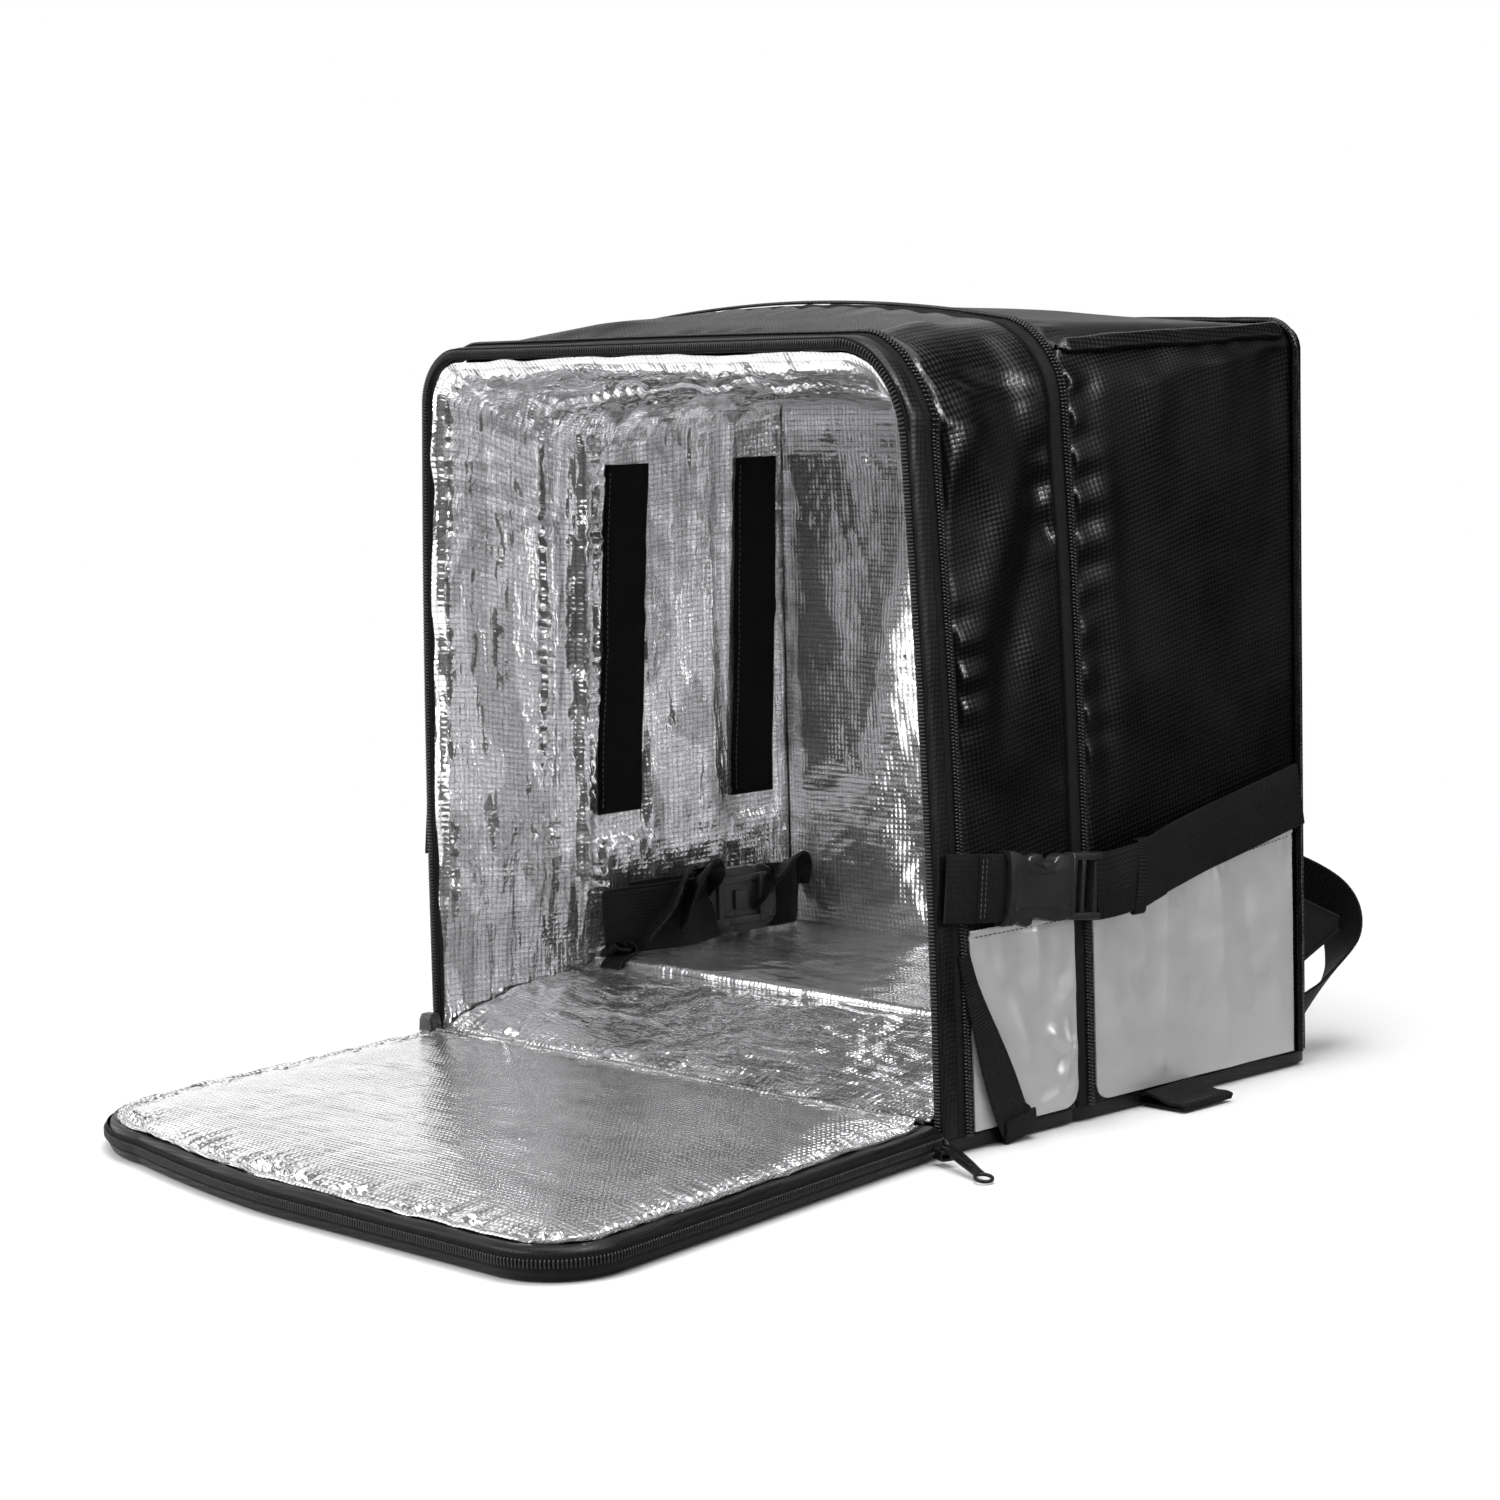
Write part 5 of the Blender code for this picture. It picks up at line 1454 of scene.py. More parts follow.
def make_zips():
    """The teeth round the opening and the two closed zips of the gusset, with their tapes."""
    where, _ = places_between(0.0, 1.0, TOOTH_PITCH)
    points, normals = outline(
        where, np.full_like(where, -GAP - TEETH_HEIGHT * 0.5), -0.001 - TEETH_WIDTH / 2
    )
    ahead = unit(np.gradient(points, axis=0))
    out = all_along((0.0, -1.0, 0.0), points)
    shape = bar_shape(TEETH_WIDTH * 0.92, TOOTH_BREADTH, TEETH_HEIGHT * 0.9)
    obj = repeat_mesh("opening_teeth", shape, points, normals, ahead, out, "teeth")
    settle(obj, "zip_tape", "zip_opening")
    tape = [(-0.0001, -0.0002), (-0.0007, -0.0004), (-0.0007, -0.0068), (-0.0001, -0.0072)]
    settle(hoop_profile("opening_tape", tape, (0.0, 1.0), "tape", flip=False), "zip_tape")
    shape = bar_shape(0.0032, TOOTH_BREADTH, TEETH_HEIGHT * 0.9)
    for name, node, middle in (
        ("front_teeth", "zip_front", FRONT_TEETH_DEPTH), ("rear_teeth", "zip_rear", REAR_TEETH_DEPTH)
    ):
        rows = []
        for sign in (-1, 1):
            shifted = where + sign * (where[1] - where[0]) / 4
            shifted = clamp(shifted)
            depth = np.full_like(shifted, middle + sign * 0.00125)
            points, normals = outline(shifted, depth)
            points = points + normals * (fold(shifted, depth) + CURVED_GAP + TEETH_HEIGHT * 0.5)[:, None]
            ahead = unit(np.gradient(points, axis=0))
            bar = all_along((0.0, 1.0, 0.0), points)
            rows.append(repeat_mesh(f"{name}_{sign + 2}", shape, points, bar, ahead, normals, "teeth"))
        settle(join(name, rows), "zip_tape", node)
    tape = [(0.0112, 0.0001), (0.0116, 0.0007), (0.0232, 0.0008), (0.0236, 0.0002)]
    settle(hoop_profile("front_zip_tape", tape, (0.0, 1.0), "tape", flip=True, folded=True), "zip_tape")


make_foil_walls()
make_foil_back()
make_foil_floor()
make_door()
make_hinge()
make_zips()


# Shapes for hard parts

BELT_TILT = math.radians(6)
SEAT = GAP + BAND_THICKNESS + TEETH_HEIGHT + FOLD_HEIGHT


def object_from(name, bm, place, material, sharp=40):
    """An object made from a bmesh, moved to its place, its faces turned outwards."""
    bmesh.ops.recalc_face_normals(bm, faces=bm.faces)
    bm.transform(place)
    mesh = bpy.data.meshes.new(name)
    bm.to_mesh(mesh)
    bm.free()
    return place_mesh(name, mesh, material, sharp)


def blocks_mesh(name, blocks, place, material, rounding=0.0008):
    """Rounded blocks in one object; each has a size and a centre."""
    bm = bmesh.new()
    for size, centre in blocks:
        matrix = Matrix.Translation(centre) @ Matrix.Diagonal((*size, 1))
        bmesh.ops.create_cube(bm, size=1.0, matrix=matrix)
    bmesh.ops.bevel(bm, geom=bm.edges[:], offset=rounding, segments=3, profile=0.5, affect="EDGES")
    return object_from(name, bm, place, material)


def plate_mesh(name, contour, thickness, place, material, rounding=0.001):
    """A plate in the plane of y and z with this contour, its rims rounded."""
    bm = bmesh.new()
    near = [bm.verts.new((-thickness / 2, y, z)) for y, z in contour]
    far = [bm.verts.new((thickness / 2, y, z)) for y, z in contour]
    bm.faces.new(near)
    bm.faces.new(far)
    count = len(contour)
    for index in range(count):
        after = (index + 1) % count
        bm.faces.new((near[index], near[after], far[after], far[index]))
    rims = [edge for edge in bm.edges if abs(edge.verts[0].co.x - edge.verts[1].co.x) < 1e-9]
    bmesh.ops.bevel(bm, geom=rims, offset=rounding, segments=3, profile=0.5, affect="EDGES")
    return object_from(name, bm, place, material)


def full_oval(wide, tall, wide_power, tall_power, count):
    """Points round an oval whose corners are the fuller the lower the powers are."""
    points = []
    for angle in circle(count):
        across, up = math.cos(angle), math.sin(angle)
        across, up = math.copysign(
            abs(across) ** wide_power, across
        ), math.copysign(abs(up) ** tall_power, up)
        points.append((wide * across, tall * up))
    return points


def belt_spot(turn, depth, lift):
    """A place on the line through the front webbing and the buckle, which sags towards the back."""
    height = BELT_HEIGHT - (depth - BUCKLE_START) * math.tan(BELT_TILT)
    return plain_side(turn, height, depth, lift)


def tents(x, y, table):
    """Straight folds: each row is the ends of a ridge, how wide its slopes are and how high it stands."""
    total = 0.0
    for x0, y0, x1, y1, breadth, height in table:
        dx, dy = x1 - x0, y1 - y0
        share = clamp(((x - x0) * dx + (y - y0) * dy) / (dx * dx + dy * dy))
        away = np.hypot(x - x0 - share * dx, y - y0 - share * dy)
        peak = clamp(1 - away / breadth)
        total = total + height * peak * (0.45 + 0.55 * peak)
    return total


# Reflective bands

GUSSET_FACETS = (
    # across and rise of both ends, breadth of the slopes, height in metres
    (0.02, 0.98, 0.24, 1.00, 0.10, 0.0016),
    (0.12, 0.86, 0.42, 0.40, 0.20, 0.0034),
    (0.42, 0.40, 0.16, 0.52, 0.12, 0.0012),
    (0.62, 0.98, 0.60, 0.60, 0.15, 0.0018),
    (0.95, 0.80, 0.84, 0.66, 0.10, -0.0022),
    (0.98, 0.62, 0.86, 0.56, 0.08, 0.0014),
    (0.74, 0.40, 0.98, 0.30, 0.07, 0.0030),
    (0.80, 0.22, 0.96, 0.36, 0.05, -0.0026),
    (0.88, 0.18, 0.90, 0.44, 0.05, 0.0020),
    (0.60, 0.28, 0.80, 0.16, 0.09, 0.0018),
    (0.66, 0.06, 1.00, 0.12, 0.06, 0.0018),
    (0.72, 0.02, 0.98, 0.00, 0.04, -0.0014),
)
MAIN_FACETS = (
    (0.35, 1.00, 0.33, 0.10, 0.06, 0.0015),
    (0.46, 1.00, 0.50, 0.00, 0.08, -0.0012),
    (0.60, 1.00, 0.66, 0.00, 0.10, 0.0026),
    (0.74, 0.95, 0.80, 0.30, 0.06, -0.0012),
    (0.08, 0.50, 0.20, 0.05, 0.10, 0.0012),
    (0.90, 0.60, 0.94, 0.05, 0.08, 0.0012),
    (0.20, 0.95, 0.26, 0.55, 0.06, 0.0008),
)


def strap_line(rise):
    """How far back the corner strap's middle lies at this share of the band's height."""
    ups = [up for up, _ in CORNER_STRAP_ROUTE][::-1]
    return np.interp(rise, ups, [share for _, share in CORNER_STRAP_ROUTE][::-1])


def make_band(turn, side, name, depths, tops, painted_dark_reflections, crumple, seed):
    """One printed panel of the band: a thin sheet with facets, its top hem and its stitches."""
    low = FOOT + 0.001
    columns = max(30, int((depths[1] - depths[0]) / 0.0016))
    u, v = np.meshgrid(np.linspace(0, 1, columns), np.linspace(0, 1, 80))
    depth = mix(*depths, u)
    corner = 0.012 / (depths[1] - depths[0])
    open_end = u if name == "main" else 1 - u
    cut = clamp(1 - open_end / corner)
    base = low + 0.010 * (1 - np.sqrt(1 - cut * cut))
    top = mix(*tops, u)
    z = mix(base, top, v)
    rise = (z - low) / (tops[0] - low)
    total = tents(u, rise, painted_dark_reflections)
    for across, up, breadth, length, height, slant in CRUMPLES:
        away = u - across - slant * (rise - up)
        total = total + crumple * CRUMPLE_HEIGHT * height * 0.7 * bump(away, breadth) * bump(
            rise - up, length
        )
    total = total + 0.0007 * noise(u * 5, rise * 4, seed) + 0.0006 * creases(u * 5, rise * 5, seed + 1, 3)
    gathers = puckers(depth, top - z, 0.0075, 0.012, seed + 2)
    total = total + 0.0005 * gathers
    total = clamp(total, -0.0006, 0.0052)
    under = 1.0
    if name == "gusset":
        away = np.abs(depth - RING_DEPTH - strap_line(z / BAND_TOP) * GUSSET_DEPTH)
        under = smooth(away, CORNER_WEBBING * 0.35, CORNER_WEBBING * 0.8)
    total = total * mix(0.35, 1.0, under)
    rim = smooth(np.minimum(np.minimum(u, 1 - u) * (depths[1] - depths[0]), z - base), 0.0, 0.004)
    hem = 0.0008 * bump(top - z - 0.0010, 0.0009) - 0.0007 * bump(top - z - 0.0040, 0.0010)
    lift = GAP + BAND_THICKNESS + total * mix(0.25, 1.0, rim) + hem
    points, normals = outline(side_share(turn, z, depth), depth, lift)
    obj = sheet_mesh(
        f"band_{name}_{side}_cloth", points, "reflective", 0.0011, -normals, flip=turn < 0,
        uvs=np.stack([depth, z], -1)
    )
    settle(obj, "reflective", f"band_{name}_{side}")
    row = depth[0, 2:-2]
    height = np.interp(row, depth[0], top[-1]) - 0.0040
    path, out = outline(side_share(turn, height, row), row, GAP + BAND_THICKNESS + 0.0002)
    lifted = np.interp(row, depth[0], total[-4]) * 0.6
    wall_stitches(
        f"band_{name}_{side}_stitches", path + out * lifted[:, None], out, 0.0036, "thread_dark",
        length=0.0020
    )


def make_bands(turn, side):
    depths = (RING_DEPTH + GAP, GUSSET_END - 2 * GAP)
    make_band(turn, side, "gusset", depths, (BAND_TOP, BAND_TOP), GUSSET_FACETS, 1.0, 201)
    depths = (MAIN_START, MAIN_END - 2 * PIPING_RADIUS - 2 * GAP)
    tops = (BAND_TOP + BAND_STEP, BAND_TOP + BAND_STEP + BAND_RISE)
    make_band(turn, side, "main", depths, tops, MAIN_FACETS, 0.4, 211)


# Side belts with their buckles

# Outline of the buckle's shell above and below: share along, mm cut from its height
NOTCH_TOP = (
    (0.00, 0.0), (0.06, 0.2), (0.13, 0.8), (0.19, 1.8), (0.25, 3.4), (0.30, 5.3), (0.37, 7.3), (0.44, 8.9),
    (0.51, 10.1), (0.585, 10.7), (0.64, 10.6), (0.68, 9.6), (0.71, 7.2), (0.74, 4.6), (0.78, 3.2),
    (0.84, 2.6), (0.92, 2.5), (0.985, 2.8)
)
NOTCH_LOW = (
    (0.00, 0.0), (0.10, 0.4), (0.18, 1.4), (0.24, 3.2), (0.30, 5.0), (0.38, 6.2), (0.46, 6.0), (0.52, 4.6),
    (0.56, 3.2), (0.62, 2.4), (0.72, 2.2), (0.86, 2.4), (0.985, 2.8)
)


def make_buckle(turn, side):
    """A side release buckle: the shell with notched rims, and the frame that holds the rear belt."""
    tilt = Matrix.Rotation(-BELT_TILT, 4, "X")
    middle = BUCKLE_START + FEMALE_LENGTH / 2
    place = Matrix.Translation(belt_spot(turn, middle, SEAT + WEBBING_THICKNESS)) @ tilt
    length, tall = FEMALE_LENGTH, BUCKLE_HEIGHT
    contour = [(length * (share - 0.5), tall / 2 - drop / 1000) for share, drop in NOTCH_TOP]
    contour += [
        (length / 2, tall / 2 - 0.0050), (length / 2 + 0.0002, 0.0), (length / 2, -tall / 2 + 0.0050)
    ]
    contour += [(length * (share - 0.5), -tall / 2 + drop / 1000) for share, drop in NOTCH_LOW[::-1]]
    contour += [
        (-length / 2 + 0.0042, -tall / 2 + 0.006), (-length / 2 + 0.0056, 0.0),
        (-length / 2 + 0.0040, tall / 2 - 0.006)
    ]
    plate = plate_mesh("plate", contour, 0.0092, place, "plastic", 0.0013)
    # The slide-in arms of the other half, seen in the notches
    arm = [
        (-0.010, 0.0), (-0.007, 0.0036), (-0.001, 0.0052), (0.004, 0.0042), (0.0065, -0.004),
        (-0.009, -0.004)
    ]
    shapes = [plate]
    for sign, height, along in ((1, tall / 2 - 0.0072, 0.0000), (-1, tall / 2 - 0.0042, -0.0070)):
        points = [(y + along, sign * (height + z)) for y, z in arm]
        shapes.append(plate_mesh("arm", points, 0.0056, place, "plastic", 0.0012))
    core = ((0.0040, length - 0.008, tall - 0.026), (turn * -0.0020, 0.001, 0))
    shapes.append(blocks_mesh("core", [core], place, "plastic", 0.0010))
    # A raised panel and the bar that holds the webbing
    panel = [(-0.0195, 0.0118), (-0.010, 0.0080), (0.002, 0.0066), (0.012, 0.0080), (0.0235, 0.0135)]
    panel += [
        (0.0245, 0.0), (0.0235, -0.0135), (0.010, -0.0110), (-0.006, -0.0100), (-0.0195, -0.0125),
        (-0.0185, 0.0)
    ]
    outside = place @ Matrix.Translation((turn * 0.0046, 0, 0))
    shapes.append(plate_mesh("panel", panel, 0.0014, outside, "plastic", 0.0006))
    settle(join(f"buckle_female_{side}_shell", shapes), "plastic", f"buckle_female_{side}")
    # The other half: a frame with three bars
    place = place @ Matrix.Translation((0, (FEMALE_LENGTH + MALE_LENGTH) / 2 + GAP, 0))
    high, bar = 0.0375, 0.0030
    blocks = []
    reach = MALE_LENGTH / 2
    for sign in (-1, 1):
        blocks.append(((0.0080, MALE_LENGTH - 0.001, bar + 0.0012), (0, 0, sign * (high / 2 - bar / 2))))
    for y, wide, thick in (
        (-reach + 0.0020, 0.0040, 0.0088), (-0.0062, 0.0034, 0.0072), (0.0052, 0.0040, 0.0066),
        (reach - 0.0016, 0.0030, 0.0084)
    ):
        blocks.append(((thick, wide, high - 0.001), (0, y, 0)))
    settle(
        blocks_mesh(f"buckle_male_{side}_frame", blocks, place, "plastic", 0.0009), "plastic",
        f"buckle_male_{side}"
    )


def make_belts(turn, side):
    """The side belt: front webbing with its sewn loop, buckle, rear webbing, free end and keeper."""
    up = (0, 0, 1)
    tilted = Matrix.Rotation(-BELT_TILT, 4, "X") @ Vector((0, 0, 1))
    first, last = BELT_START, BUCKLE_START + 0.004
    lifts = (0.0048, 0.0070, SEAT, SEAT + 0.0004, SEAT + 0.0012)
    front = [belt_spot(turn, mix(first, last, i / 4), lifts[i]) for i in range(5)]
    obj = strap_mesh(
        f"belt_front_{side}_webbing", front, tilted, WEBBING, WEBBING_THICKNESS, "webbing", 0.0015,
        ripple=0.0002
    )
    settle(obj, "webbing", f"belt_front_{side}")
    loop = [belt_spot(turn, mix(0.024, last, i / 3), SEAT + 0.0017 + 0.0010 * (i == 2)) for i in range(4)]
    obj = strap_mesh(
        f"belt_loop_{side}", loop, tilted, WEBBING * 0.985, WEBBING_THICKNESS, "webbing", 0.0015,
        ripple=0.0002
    )
    settle(obj, "webbing")
    for index, depth in enumerate((0.0258, 0.0290)):
        spot = belt_spot(turn, depth, SEAT + 0.0030)
        points = np.array(
            [spot + np.array(tuple(tilted)) * rise for rise in np.linspace(-0.017, 0.017, 20)]
        )
        out = all_along((float(turn), 0.0, 0.0), points)
        wall_stitches(
            f"belt_loop_{side}_stitches_{index + 1}", points, out, 0.0030, "thread_dark", length=0.0021
        )
    make_buckle(turn, side)
    half = FEMALE_LENGTH / 2
    start = BUCKLE_START + half + GAP + (half + MALE_LENGTH + 2 * GAP) * math.cos(BELT_TILT)
    end = MAIN_END - 2 * PIPING_RADIUS
    low, high = belt_spot(turn, start, SEAT)[2], BELT_HEIGHT + BELT_RISE
    rear = [plain_side(turn, low + 0.0004, start - 0.013, SEAT + 0.0002)]
    for share, bulge in (
        (0, 0.25), (0.12, 1), (0.3, 0.45), (0.5, 0.05), (0.65, 0), (0.85, -0.06), (1, -0.12)
    ):
        rear.append(
            plain_side(turn, mix(low, high, share), mix(start, end, share), SEAT + bulge * BELT_BULGE)
        )
    obj = strap_mesh(
        f"belt_rear_{side}_webbing", rear, up, WEBBING, WEBBING_THICKNESS, "webbing", 0.0016, ripple=0.0003
    )
    settle(obj, "webbing", f"belt_rear_{side}")
    # The free end, folded back over the belt and held by the keeper
    tail = [plain_side(turn, low + 0.0006, start - 0.012, SEAT + 0.0040)]
    for share, bulge in ((0, 0.75), (0.10, 1.45), (0.17, 1.35), (0.22, 1.18)):
        tail.append(
            plain_side(
                turn, mix(low, high, share) + 0.0012, mix(start, end, share), SEAT + bulge * BELT_BULGE
            )
        )
    obj = strap_mesh(
        f"belt_tail_{side}", tail, up, WEBBING * 0.99, WEBBING_THICKNESS, "webbing", 0.0016, ripple=0.0003
    )
    settle(obj, "webbing")
    lift = SEAT + BELT_BULGE + WEBBING_THICKNESS / 2 + 0.0011 + GAP + 0.0016
    height = mix(low, high, KEEPER_PLACE / (end - start))
    middle = plain_side(turn, height, start + KEEPER_PLACE, lift)
    reach = WEBBING / 2 + 0.0015
    lean = np.array([0.0, 0.0022, 0.0])
    route = []
    for rise, inwards in (
        (-1.0, 0.0042), (-0.98, 0.0010), (-0.6, 0.0), (0.0, -0.0006), (0.6, 0.0), (0.98, 0.0010),
        (1.0, 0.0042)
    ):
        route.append(middle + np.array([-turn * inwards, 0.0, rise * reach]) + lean * rise)
    obj = strap_mesh(f"belt_keeper_{side}_loop", route, (0, 1, 0), 0.0095, 0.0020, "webbing_fine", 0.0012)
    settle(obj, "webbing", f"belt_keeper_{side}")


CORNER_COURSE = ((0.90, -0.06), (0.72, -0.01), (0.52, 0.08), (0.32, 0.19), (0.13, 0.30))


def make_corner_strap(turn, side):
    """A narrow strap that comes out from under the front seam and goes round the base's edge."""
    lift = GAP + BAND_THICKNESS + CRUMPLE_HEIGHT + GAP + WEBBING_THICKNESS / 2
    route = []
    for up, share in CORNER_COURSE:
        drop = 0.0036 if up > 0.8 else 0.0018 if up > 0.6 else 0.0
        route.append(plain_side(turn, up * BAND_TOP, RING_DEPTH + share * GUSSET_DEPTH, lift - drop))
    edge = WIDTH / 2
    last = RING_DEPTH + 0.37 * GUSSET_DEPTH
    route.append((turn * (edge + 0.0040), y_at(last), 0.0090))
    route.append((turn * (edge + 0.0022), y_at(last + 0.002), 0.0022))
    route.append((turn * (edge - 0.0080), y_at(last + 0.003), 0.0010))
    name = f"corner_strap_{side}"
    obj = strap_mesh(
        f"{name}_webbing", route, (0, 1, 0.05), CORNER_WEBBING, WEBBING_THICKNESS, "webbing_fine", 0.0016,
        ripple=0.0003, narrow=0.35
    )
    settle(obj, "webbing", name)
    turned = [
        (edge + 0.0072, -0.0012, 0.0158), (edge + 0.0066, 0.0, 0.0090), (edge + 0.0042, 0.0015, 0.0022)
    ]
    turned = [(turn * x, y_at(last) + y, z) for x, y, z in turned]
    settle(
        strap_mesh(
            f"{name}_hem", turned, (0, 1, 0.05), CORNER_WEBBING * 1.02, 0.0022, "webbing_fine", 0.0016
        ),
        "webbing"
    )


def make_base_tab():
    """The folded tab of webbing that sticks out from under the base at the right."""
    depth = mix(MAIN_START, DEPTH, 0.32)
    start = WIDTH / 2 - 0.001 + CURVED_GAP
    route = []
    for reach, z in (
        (-0.001, 0.0068), (0.004, 0.0082), (0.012, 0.0064), (0.021, 0.0040), (0.0285, 0.0042),
        (0.0330, 0.0036)
    ):
        route.append((start + reach, y_at(depth), z))
    obj = strap_mesh(
        "base_tab_webbing", route, (0, 1, 0.02), 0.045, 0.0026, "webbing", 0.0016, ripple=0.0005
    )
    settle(obj, "webbing", "base_tab")
    route = [
        (start + reach, y_at(depth), z)
        for reach, z in ((0.0005, 0.0018), (0.010, 0.0016), (0.022, 0.0015), (0.0325, 0.0020))
    ]
    settle(
        strap_mesh("base_tab_lower", route, (0, 1, 0.02), 0.0445, 0.0018, "webbing", 0.002, ripple=0.0002),
        "webbing"
    )
    across = np.linspace(-0.020, 0.020, 20)
    path = stack(start + 0.0300, y_at(depth) + across, 0.0055 + 0.0001 * across)
    stitch_row("base_tab_stitches", path, 0.0032, None, "thread_dark", 0.0022)


# Inside: hook strips and the bundled belt

def make_hook_strips():
    """Two strips of hook tape on the left foil wall, a little ragged, with a stitched edge."""
    for index, middle in enumerate(HOOK_DEPTHS):
        u, v = np.meshgrid(np.linspace(0, 1, 26), np.linspace(0, 1, 120))
        walked = v * HOOK_LENGTH
        ragged = 0.0006 * noise(walked * 70, u * 0 + index, 231) * (np.abs(u - 0.5) * 2) ** 3
        here = middle + (u - 0.5) * HOOK_WIDTH - HOOK_DRIFT * (1 - v) + ragged
        z = HOOK_TOP - HOOK_LENGTH * (1 - v)
        edge = np.minimum(np.minimum(u, 1 - u) * HOOK_WIDTH, np.minimum(v, 1 - v) * HOOK_LENGTH)
        thick = LINING + GAP + 0.0008 + 0.0014 * (1 - clamp(1 - edge / 0.0014) ** 2)
        wavy = 0.0012 * clamp(noise(walked * 22, u * 1.5, 232 + index))
        wavy = wavy + 0.0009 * bump((walked - 0.11) - 0.02 * u, 0.006)
        points = foil(side_share(-1, z * HEIGHT / (HEIGHT - CEILING_BACK), here), here, -(thick + wavy))
        obj = sheet_mesh(
            f"hook_strip_{index + 1}_tape", points, "hook", 0.0016, (-1, 0, 0),
            uvs=np.stack([u * HOOK_WIDTH, walked], -1)
        )
        settle(obj, "hook_tape", f"hook_strip_{index + 1}")
        for number, column in ((1, 1), (2, -2)):
            path = points[2:-2, column] + np.array([0.0004, 0, 0])
            out = all_along((1.0, 0.0, 0.0), path)
            wall_stitches(
                f"hook_strip_{index + 1}_stitches_{number}", path, out, 0.0040, "thread_dark", length=0.0026
            )


BUNDLE_LENGTH = 0.155
BUNDLE_MARGIN = 0.0139


def make_bundle():
    """The bundled belt at the left wall: flat and standing loops, a buckle and a free end."""
    length = BUNDLE_LENGTH
    start = LINING_END - BUNDLE_MARGIN - length
    wall = wall_x(np.array(start + length / 2), FLOOR_HEIGHT, -1) + WAVE_HEIGHT + 5 * GAP + 0.0010
    x = float(wall) + 0.010
    base = FLOOR_HEIGHT + 0.0012

    def spots(rows):
        return [(x + out / 1000, y_at(start + share * length), base + up / 1000) for share, out, up in rows]

    tall = 0.0445
    up = (0.05, 0, 1)
    loops = (
        # letter, points (share along, outwards and up in mm), way across, width, way across at its end
        (
            "a",
            ((-0.14, -4, 23), (0.00, -1, 24), (0.10, 3, 24), (0.25, 8, 25), (0.36, 6, 25), (0.44, 2, 25)),
            up, tall, (0.15, 0, 1)
        ),
        (
            "b",
            ((-0.15, -3, 22), (-0.04, 5, 23), (0.08, 9, 23), (0.22, 13, 23), (0.34, 9, 23), (0.44, 5, 24)),
            up, tall * 0.96, (-0.25, 0, 1)
        ),
        ("c", ((0.03, -6, 26), (0.16, 0, 27), (0.30, 1, 26), (0.46, -3, 25)), up, tall, (0.0, 0, 1)),
        (
            "d", ((0.78, 0, 25), (0.86, 8, 25), (0.93, 10, 25), (0.985, 3, 25), (0.96, -4, 26)), up, tall,
            (0.1, 0, 1)
        ),
        (
            "e", ((0.76, -3, 24), (0.85, 2, 23), (0.94, 2, 24), (0.99, -4, 25)), up, tall * 0.97,
            (-0.2, 0, 1)
        ),
        # Loose turns of the strap that stand up from the bundle
        (
            "f", ((0.20, 6, 18), (0.24, 14, 34), (0.32, 15, 47), (0.40, 10, 50), (0.44, 2, 40)),
            (1, 0.2, 0.3), 0.024, (0.6, -0.4, 0.6)
        ),
        (
            "g", ((0.02, 8, 14), (0.10, 17, 28), (0.18, 16, 41), (0.26, 8, 44)), (1, 0.2, 0.3), 0.024,
            (0.6, -0.4, 0.6)
        ),
        (
            "h", ((0.70, 4, 20), (0.76, 14, 36), (0.86, 15, 48), (0.94, 8, 44), (0.97, 0, 30)),
            (1, -0.2, 0.4), 0.026, (0.7, 0.4, 0.5)
        ),
    )
    front, rear = [], []
    for letter, rows, across, width, lean in loops:
        name = f"inner_loop_{letter}"
        loop = strap_mesh(
            name, spots(rows), across, width, 0.0022, "webbing_shiny", 0.002, last_across=lean,
            ripple=0.0009
        )
        (rear if letter in "deh" else front).append(loop)
    settle(join("inner_strap_front_loops", front), "webbing", "inner_strap_front")
    settle(join("inner_strap_rear_loops", rear), "webbing", "inner_strap_rear")
    place = Matrix.Translation(
        (x + 0.0050, y_at(start + 0.60 * length), base + 0.0260)
    ) @ Matrix.Rotation(math.radians(-6), 4, "Z")
    contour = full_oval(0.031, 0.0225, 0.35, 0.45, 40)
    parts = [plate_mesh("inner_plate", contour, 0.0070, place, "plastic_shiny", 0.0016)]
    blocks = [
        ((0.0040, 0.0460, 0.0060), (0.0042, 0, 0.0145)), ((0.0040, 0.0460, 0.0060), (0.0042, 0, -0.0145))
    ]
    blocks += [
        ((0.0040, 0.0050, 0.0330), (0.0044, -0.0180, 0)), ((0.0050, 0.0060, 0.0330), (0.0044, 0.0180, 0)),
        ((0.0034, 0.0120, 0.0140), (0.0046, 0, 0))
    ]
    parts.append(blocks_mesh("inner_bars", blocks, place, "plastic_shiny", 0.0011))
    settle(join("inner_buckle_shell", parts), "plastic", "inner_buckle")
    # The strap's free end hangs over the pad's front corner
    depth = MAIN_START
    route = [(x - 0.004, y_at(start + 0.01), base + 0.012), (x + 0.001, y_at(start - 0.020), base + 0.0060)]
    route += [
        (x + 0.006, y_at(depth + 0.010), FLOOR_HEIGHT + 0.0042),
        (x + 0.006, y_at(depth - 0.002), FLOOR_HEIGHT + 0.0005),
        (x + 0.005, y_at(depth - 0.008), FLOOR_HEIGHT - 0.010)
    ]
    obj = strap_mesh(
        "inner_strap_end", route, (1, 0, 0.3), 0.020, 0.0020, "webbing_shiny", 0.002, last_across=(1, 0, 0),
        ripple=0.0004
    )
    settle(obj, "webbing")


# Back: shoulder straps

